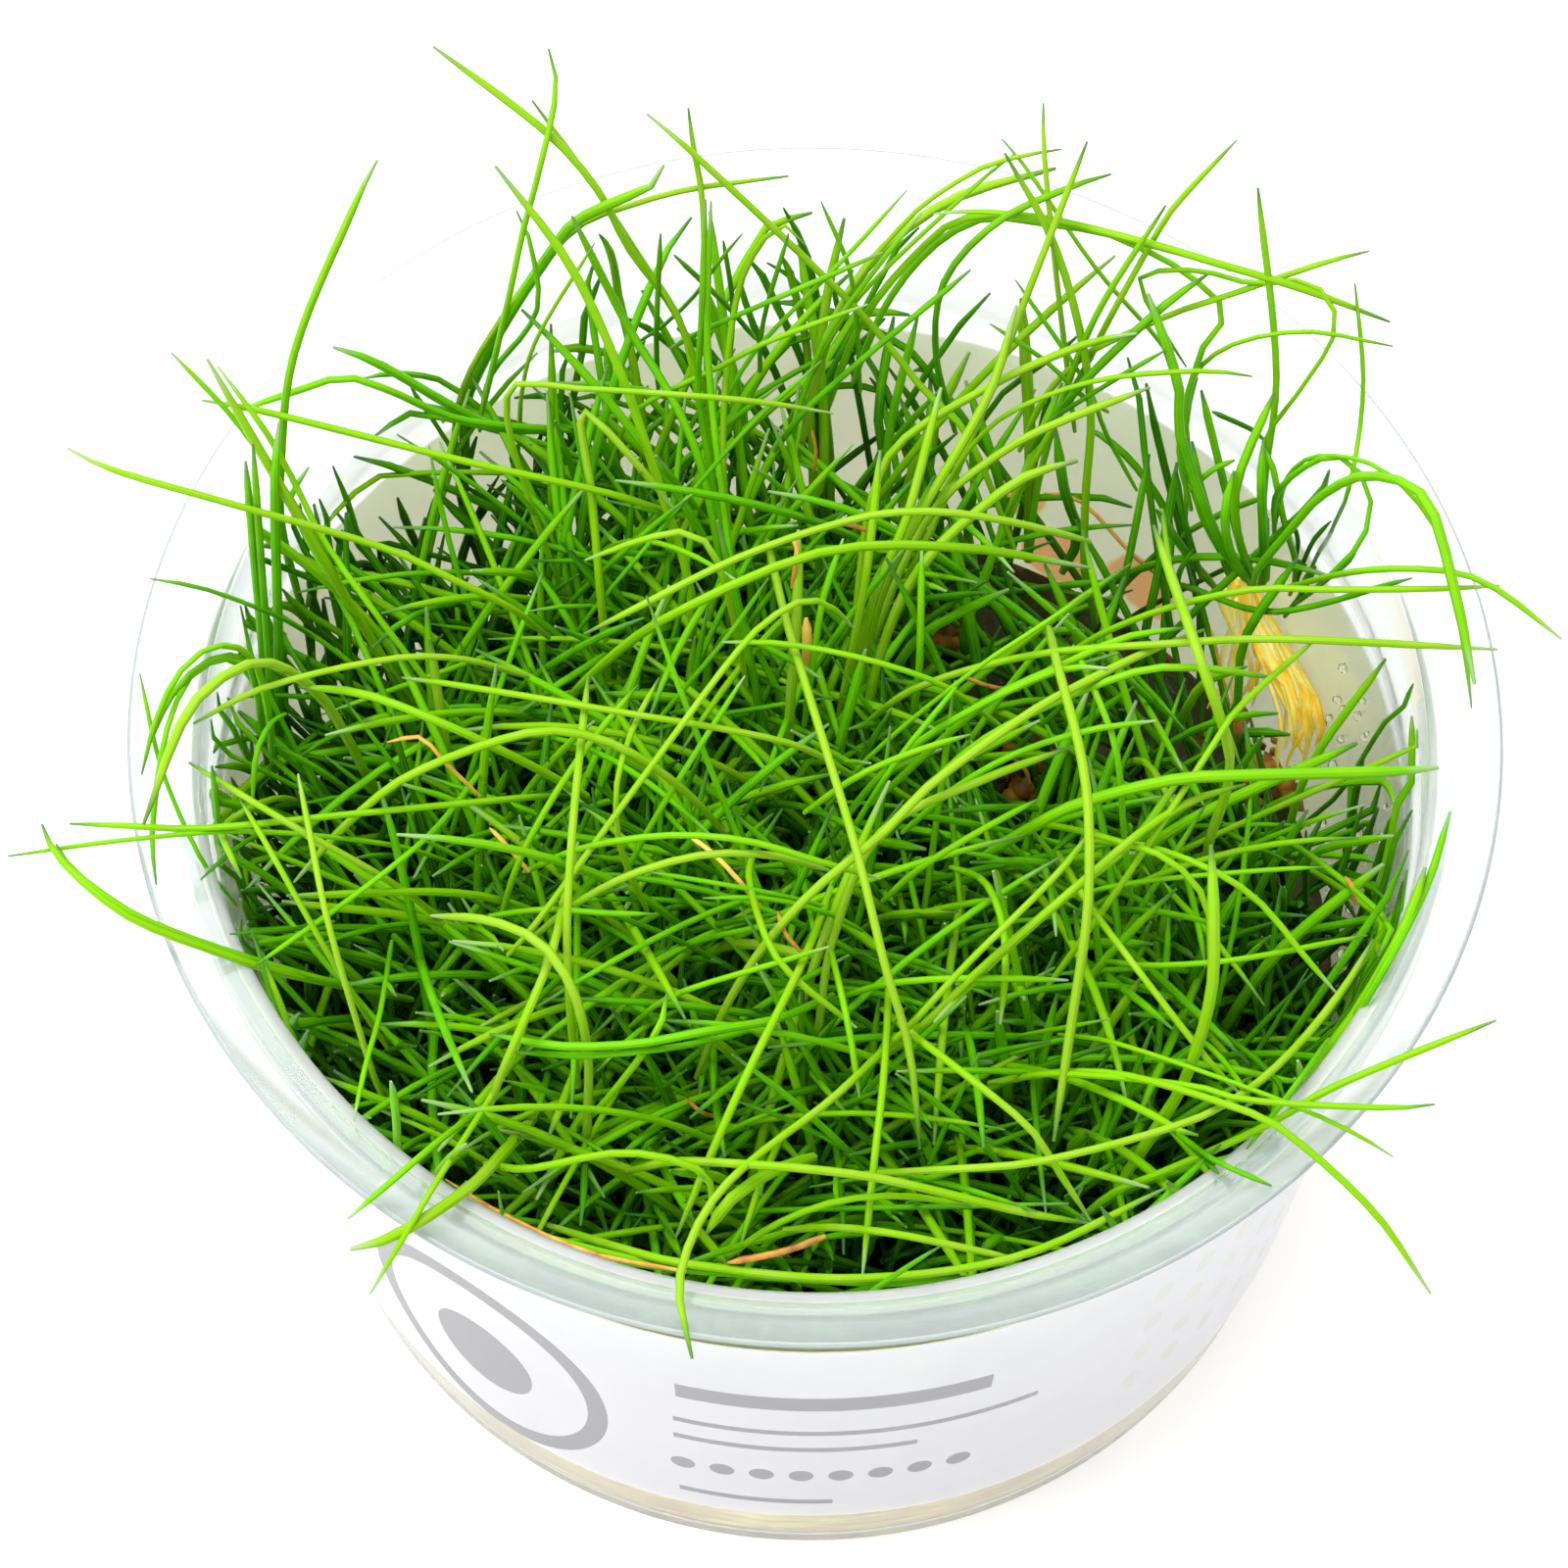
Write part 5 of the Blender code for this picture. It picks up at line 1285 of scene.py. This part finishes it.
@dataclass
class Grass:
    """All blades: read off the photograph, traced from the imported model, and grown between them.

    A gap is a place that the photograph shows bare: x, y and radius where it is seen at gap_level, and the
    share of blades that still grow over it. Slant is how far a place shifts in y as it rises, as seen.
    """

    cup: Cup
    camera: PhotoCamera
    seed: int = 11
    pixels_per_mm: float = 14.04
    lift_step: float = 0.25
    gel_top: float = 22.6
    shoots: int = 150
    shoot_reach: float = 38.0
    shoot_stray: float = 1.0
    root_reach: float = 38.6
    root_stray: float = 0.8
    pulled_in: float = 0.95
    heading_stray: float = 1.3
    edge_heading_stray: float = 1.5
    edge_reach: Range = (33.0, 38.4)
    edge_left: Range = (125.0, 235.0)
    edge_left_share: float = 0.82
    edge_right: Range = (-28.0, 14.0)
    wall_room: float = 0.8
    shortest_on_wall: float = 12.0
    wall_width: float = 1.25
    wall_tone: float = 0.75
    traced_half_widths: Range = (0.33, 0.47)
    long_from: float = 25.0
    long_tones: Range = (0.62, 1.0)
    short_tones: Range = (0.3, 0.8)
    same_tip: float = 4.0
    slant: float = 0.555
    gap_level: float = 36.0
    gaps: tuple[tuple[float, float, float, float], ...] = (
        (32.4, 24.8, 2.6, 0.0), (34.8, 21.4, 2.8, 0.0), (36.4, 17.6, 2.8, 0.0), (37.6, 13.3, 2.2, 0.1),
        (40.0, 18.9, 3.0, 0.3), (7.1, 36.4, 4.0, 0.4), (17.0, 28.4, 2.0, 0.2), (15.4, 33.2, 3.5, 0.3),
        (24.4, 31.8, 3.5, 0.3), (20.7, 36.7, 4.0, 0.3), (-31.1, 33.8, 3.0, 0.5), (9.6, 21.3, 2.2, 0.1),
        (13.6, 11.5, 2.2, 0.1), (16.6, 9.1, 2.2, 0.1), (24.0, 20.0, 2.5, 0.3))
    maker: StrandMaker = field(default_factory=StrandMaker)

    def __post_init__(self) -> None:
        """Starts the random numbers and finds the plantlets' middles."""
        self.rng = np.random.default_rng(self.seed)
        self.names = sorted(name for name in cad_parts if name.startswith("tuft_"))
        self.middles = {}
        for name in self.names:
            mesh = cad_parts[name].data
            low = min(v.co.z for v in mesh.vertices)
            foot = [v.co for v in mesh.vertices if v.co.z < low + 1.5 * MM]
            self.middles[name] = sum(foot, Vector()) / len(foot) / MM

    def trace(self, name: str) -> list[Route]:
        """Follows each packed blade of a node from its tip down to its root.

        Args:
            name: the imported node.

        Returns:
            The blades' centre lines from root to tip, in millimetres.
        """
        bm = bmesh.new()
        bm.from_mesh(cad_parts[name].data)
        bmesh.ops.remove_doubles(bm, verts=bm.verts, dist=0.00001)
        routes = []
        for tip in bm.verts:
            if len(tip.link_edges) != 3:
                continue
            ring = [edge.other_vert(tip) for edge in tip.link_edges]
            line = [tip.co.copy()]
            seen = {tip}
            while len(ring) == 3:
                line.append((ring[0].co + ring[1].co + ring[2].co) / 3.0)
                seen.update(ring)
                ring = list({edge.other_vert(vert) for vert in ring for edge in vert.link_edges} - seen)
            if (line[0] - line[1]).length > 1.5 * MM and line[0].z > line[-1].z:
                routes.append([point / MM for point in reversed(line)])
        bm.free()
        return routes

    def nearest(self, point: Vector) -> str:
        """Name of the plantlet whose middle is nearest to a point."""
        return min(self.names, key=lambda name: (self.middles[name].xy - point.xy).length_squared)

    def grow(self, root: Vector, azimuth: float, lean: float, bend: float, length: float,
             steps: int) -> Route:
        """Grows one arching blade that slides along the wall where it meets it.

        Args:
            root: where it starts.
            azimuth: heading seen from above, radians.
            lean: first angle from upright, radians.
            bend: how much further it bows over, radians.
            length: its length.
            steps: how many stretches it has.

        Returns:
            Its centre line.
        """
        drift = self.rng.normal(0.0, 0.35)
        power = self.rng.uniform(0.8, 1.8)
        place = root.copy()
        line = [place.copy()]
        for i in range(steps):
            share = (i + 0.5) / steps
            tilt = lean + bend * share ** power
            turn = azimuth + drift * share
            step = Vector((math.sin(tilt) * math.cos(turn), math.sin(tilt) * math.sin(turn), math.cos(tilt)))
            place = place + step * (length / steps)
            place = self.cup.held_in(place, self.wall_room)
            place.z = max(place.z, self.gel_top + 0.6)
            line.append(place.copy())
        return line

    def shoot_places(self) -> list[tuple[float, float, float]]:
        """Places of the shoots on the gel, in an even spiral with some stray, and the way each one leans."""
        rng = self.rng
        shoots = []
        for k in range(self.shoots):
            radius = self.shoot_reach * math.sqrt((k + 0.5) / self.shoots)
            angle = k * GOLDEN_ANGLE
            shoots.append((radius * math.cos(angle) + rng.normal(0, self.shoot_stray),
                           radius * math.sin(angle) + rng.normal(0, self.shoot_stray),
                           rng.uniform(0, 2 * math.pi)))
        return shoots

    def edge_place(self) -> tuple[float, float, float]:
        """A place near the wall, mostly at the left, and a heading around the way out."""
        rng = self.rng
        at_left = rng.uniform() < self.edge_left_share
        turn = math.radians(rng.uniform(*(self.edge_left if at_left else self.edge_right)))
        reach = rng.uniform(*self.edge_reach)
        heading = turn + rng.normal(0, self.edge_heading_stray)
        return reach * math.cos(turn), reach * math.sin(turn), heading

    def grown_blades(self) -> list[Blade]:
        """Grows every layer from the shoots, apart from blades that would hide a gap."""
        rng = self.rng
        shoots = self.shoot_places()
        blades = []
        for layer in Layer:
            growth = layer.value
            for _ in range(growth.count):
                x, y, favour = shoots[rng.integers(len(shoots))]
                if layer is Layer.EDGE:
                    x, y, favour = self.edge_place()
                root = Vector((x + rng.normal(0, self.root_stray), y + rng.normal(0, self.root_stray),
                               self.gel_top))
                if math.hypot(root.x, root.y) > self.root_reach:
                    root *= self.pulled_in
                    root.z = self.gel_top
                azimuth = favour + rng.normal(0, self.heading_stray)
                length = rng.uniform(*growth.lengths)
                lean = math.radians(rng.uniform(*growth.leans))
                bend = math.radians(rng.uniform(*growth.bends))
                line = self.grow(root, azimuth, lean, bend, length, growth.steps)
                if not self.hides_a_gap(line):
                    blades.append(Blade(line, rng.uniform(*growth.half_widths), rng.uniform(*growth.tones)))
        return blades

    def seen_place(self, column: float, row: float, height: float) -> Vector:
        """The place of a reading, kept inside the wall and lifted until it is clear of the flange.

        Args:
            column: pixels from the photograph's left edge.
            row: pixels from its top edge.
            height: millimetres above the cup's base.

        Returns:
            The place, to a tenth of a millimetre.
        """
        x, y = self.camera.place_of(column, row, height)
        reach = math.hypot(x, y)
        limit = self.cup.inner_radius(height) - self.cup.blade_room
        if height < self.cup.shoulder + 1.0 and limit < reach < self.cup.outside:
            x, y = x * limit / reach, y * limit / reach
        while self.cup.flange_blocks(x, y, height):
            height += self.lift_step
            x, y = self.camera.place_of(column, row, height)
        return Vector([round(value, 1) for value in (x, y, height)])

    def read_blades(self, readings: str) -> list[Blade]:
        """Draws the blades that were read off the photograph.

        Args:
            readings: one blade a line, as DRAWN_BLADES has them.

        Returns:
            The blades, drawn smoothly through their points from root to tip.
        """
        blades = []
        for row in readings.strip().splitlines():
            width, tone, *points = row.split()
            places = [[float(value) for value in point.split(",")] for point in reversed(points)]
            line = [self.seen_place(*place) for place in places]
            half_width = round(float(width) / self.pixels_per_mm / 2.0, 2)
            route = smooth_route(line, steps_for(line, 2.0, 8, 30))
            blades.append(Blade(route, half_width, float(tone)))
        return blades

    def hides_a_gap(self, line: Route) -> bool:
        """Whether a blade would cover a gap, seen at the photograph's angle."""
        for x, y, reach, share in self.gaps:
            if self.rng.uniform() < share:
                continue
            for point in line:
                level = point.y + self.slant * (point.z - self.gap_level)
                if math.hypot(point.x - x, level - y) < reach:
                    return True
        return False

    def traced_blades(self, name: str, shortest: float = 0.0) -> list[Blade]:
        """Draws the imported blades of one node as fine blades, apart from those that the readings draw better.

        Args:
            name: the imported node.
            shortest: shorter blades than this are left out.

        Returns:
            The blades.
        """
        blades = []
        for route in self.trace(name):
            if min((route[-1] - blade.line[-1]).length for blade in self.drawn) < self.same_tip:
                continue
            length = run_length(route)
            if length < shortest:
                continue
            tones = self.long_tones if length > self.long_from else self.short_tones
            tone = self.rng.uniform(*tones)
            line = smooth_route(route, steps_for(route, 2.4, 6, 22))
            blades.append(Blade(line, self.rng.uniform(*self.traced_half_widths), tone))
        return blades

    def build(self) -> None:
        """Makes one piece for each plantlet."""
        leaf = Leaf().build()
        self.drawn = self.read_blades(DRAWN_BLADES)
        shares = {name: self.traced_blades(name) for name in self.names}
        for blade in self.drawn + self.grown_blades():
            shares[self.nearest(blade.line[0])].append(blade)
        for name, blades in shares.items():
            piece = self.maker.build(name.replace("tuft", "plantlet"), blades, leaf)
            show(piece, "leaf", name)
        blades = self.traced_blades("wall_tuft", self.shortest_on_wall)
        for blade in blades:
            blade.half_width *= self.wall_width
            blade.tone *= self.wall_tone
        show(self.maker.build("wall_plantlet", blades, leaf), "leaf", "wall_tuft")


@dataclass
class WallRoots:
    """The golden roots of the plantlet on the wall: a braid along the wall, and a few that hang straight.

    Each bundle has a number of threads, how far they stray, and the shares of its path that they follow.
    """

    grass: Grass
    braid: tuple[tuple[float, float, float], ...] = (
        (31.6, 23.4, 43.0), (32.4, 24.0, 39.5), (33.4, 22.9, 37.6), (34.6, 21.0, 37.0), (35.7, 18.9, 36.6),
        (36.6, 17.0, 36.4), (37.2, 15.3, 35.0), (37.0, 14.6, 32.5), (36.8, 13.8, 30.0))
    hung: tuple[tuple[float, float, float], ...] = (
        (31.4, 23.0, 43.0), (32.6, 22.8, 38.0), (33.0, 22.0, 32.0), (32.6, 21.2, 26.0))
    braid_threads: tuple[int, float, Range] = (46, 0.85, (0.4, 1.0))
    hung_threads: tuple[int, float, Range] = (12, 1.6, (0.5, 1.0))
    steps: int = 24
    wall_room: float = 0.5
    half_widths: Range = (0.14, 0.3)
    tones: Range = (0.3, 1.0)

    def threads(self, path: Route, count: int, width: float, shares: Range) -> list[Blade]:
        """Thin threads that wander around a path and stay off the wall.

        Args:
            path: the middle of the bundle from its top down.
            count: how many threads.
            width: how far they stray.
            shares: how much of the path the shortest and the longest one follow.

        Returns:
            The threads.
        """
        rng = self.grass.rng
        middle = smooth_route(path, self.steps)
        threads = []
        for _ in range(count):
            last = int(self.steps * rng.uniform(*shares))
            shift = Vector(rng.normal(0.0, width, 3))
            sway = Vector(rng.normal(0.0, width * 0.6, 3))
            phase, speed = rng.uniform(0.0, 6.0), rng.uniform(0.2, 0.5)
            line = []
            for i, point in enumerate(middle[:last + 1]):
                open_out = 0.35 + 0.75 * i / self.steps
                place = point + (shift + sway * math.sin(phase + speed * i)) * open_out
                line.append(self.grass.cup.held_in(place, self.wall_room))
            threads.append(Blade(line, rng.uniform(*self.half_widths), rng.uniform(*self.tones)))
        return threads

    def build(self) -> bpy.types.Object:
        """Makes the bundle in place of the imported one."""
        threads = []
        for path, bundle in ((self.braid, self.braid_threads), (self.hung, self.hung_threads)):
            threads += self.threads([Vector(point) for point in path], *bundle)
        piece = self.grass.maker.build("hanging_roots", threads, RootThread().build())
        return show(piece, "root", "root_bundle")


@dataclass
class Litter:
    """What has dried and come loose: brown threads and leaves, rust crumbs, and water drops on the wall."""

    grass: Grass
    hollows: tuple[tuple[float, float], ...] = ((9.9, 29.6), (14.0, 19.7), (17.0, 17.1), (34.5, 17.0))
    crumbs: int = 130
    crumb_stray: float = 1.3
    crumb_heights: Range = (22.2, 25.5)
    crumb_sizes: Range = (0.4, 1.0)
    crumb_tones: Range = (0.25, 0.7)
    drops: int = 60
    drop_turns: tuple[Range, Range] = ((165.0, 190.0), (0.0, 22.0))
    drop_heights: Range = (24.0, 44.0)
    drop_sizes: Range = (0.2, 0.55)
    drop_sink: float = 0.15

    def lumps(self, places: list[tuple[Vector, float]], name: str, material: bpy.types.Material,
              rough: float) -> bpy.types.Object:
        """Small rounded lumps joined in one piece.

        Args:
            places: middle and radius of each lump in millimetres.
            name: the piece's name.
            material: its finish.
            rough: how far each corner strays, as a share of the radius.

        Returns:
            The linked object.
        """
        rng = self.grass.rng
        bm = bmesh.new()
        for middle, radius in places:
            made = bmesh.ops.create_icosphere(bm, subdivisions=1, radius=radius)
            stretch = rng.uniform(0.7, 1.3, 3)
            for vert in made["verts"]:
                stray = 1.0 + rng.uniform(-rough, rough)
                vert.co = Vector([value * stray * factor for value, factor in zip(vert.co, stretch)]) + middle
        return mesh_object(name, bm, material, 60.0)

    def build(self) -> None:
        """Makes the dried threads, the crumbs and the drops."""
        rng = self.grass.rng
        dried = DriedLeaf().build()
        threads = self.grass.read_blades(DRIED_BLADES)
        show(self.grass.maker.build("dried_threads", threads, dried), "leaf")
        places = []
        for _ in range(self.crumbs):
            x, y = self.hollows[rng.integers(len(self.hollows))]
            place = Vector((x + rng.normal(0, self.crumb_stray), y + rng.normal(0, self.crumb_stray),
                            rng.uniform(*self.crumb_heights)))
            places.append((place, rng.uniform(*self.crumb_sizes)))
        crumbs = self.lumps(places, "rust_crumbs", dried, 0.3)
        layer = crumbs.data.attributes.new("tone", "FLOAT", "POINT")
        tones = rng.uniform(*self.crumb_tones, len(crumbs.data.vertices))
        layer.data.foreach_set("value", tones.astype(np.float32))
        show(crumbs, "leaf")
        places = []
        for turns in self.drop_turns:
            for _ in range(self.drops // 2):
                turn = math.radians(rng.uniform(*turns))
                height = rng.uniform(*self.drop_heights)
                reach = self.grass.cup.inner_radius(height) - self.drop_sink
                places.append((Vector((reach * math.cos(turn), reach * math.sin(turn), height)),
                               rng.uniform(*self.drop_sizes)))
        show(self.lumps(places, "wall_drops", Droplet().build(), 0.05), "clear_plastic")


def main() -> None:
    """Builds the studio, the cup and the plants in order."""
    logging.basicConfig(level=logging.INFO, format="%(message)s")
    bpy.context.scene.view_settings.view_transform = "Standard"
    camera = PhotoCamera()
    camera.build()
    Studio().build()
    cup = Cup()
    cup.build()
    Label(cup).build()
    Gel(cup).build()
    grass = Grass(cup, camera)
    grass.build()
    WallRoots(grass).build()
    Litter(grass).build()


if __name__ == "__main__":
    main()
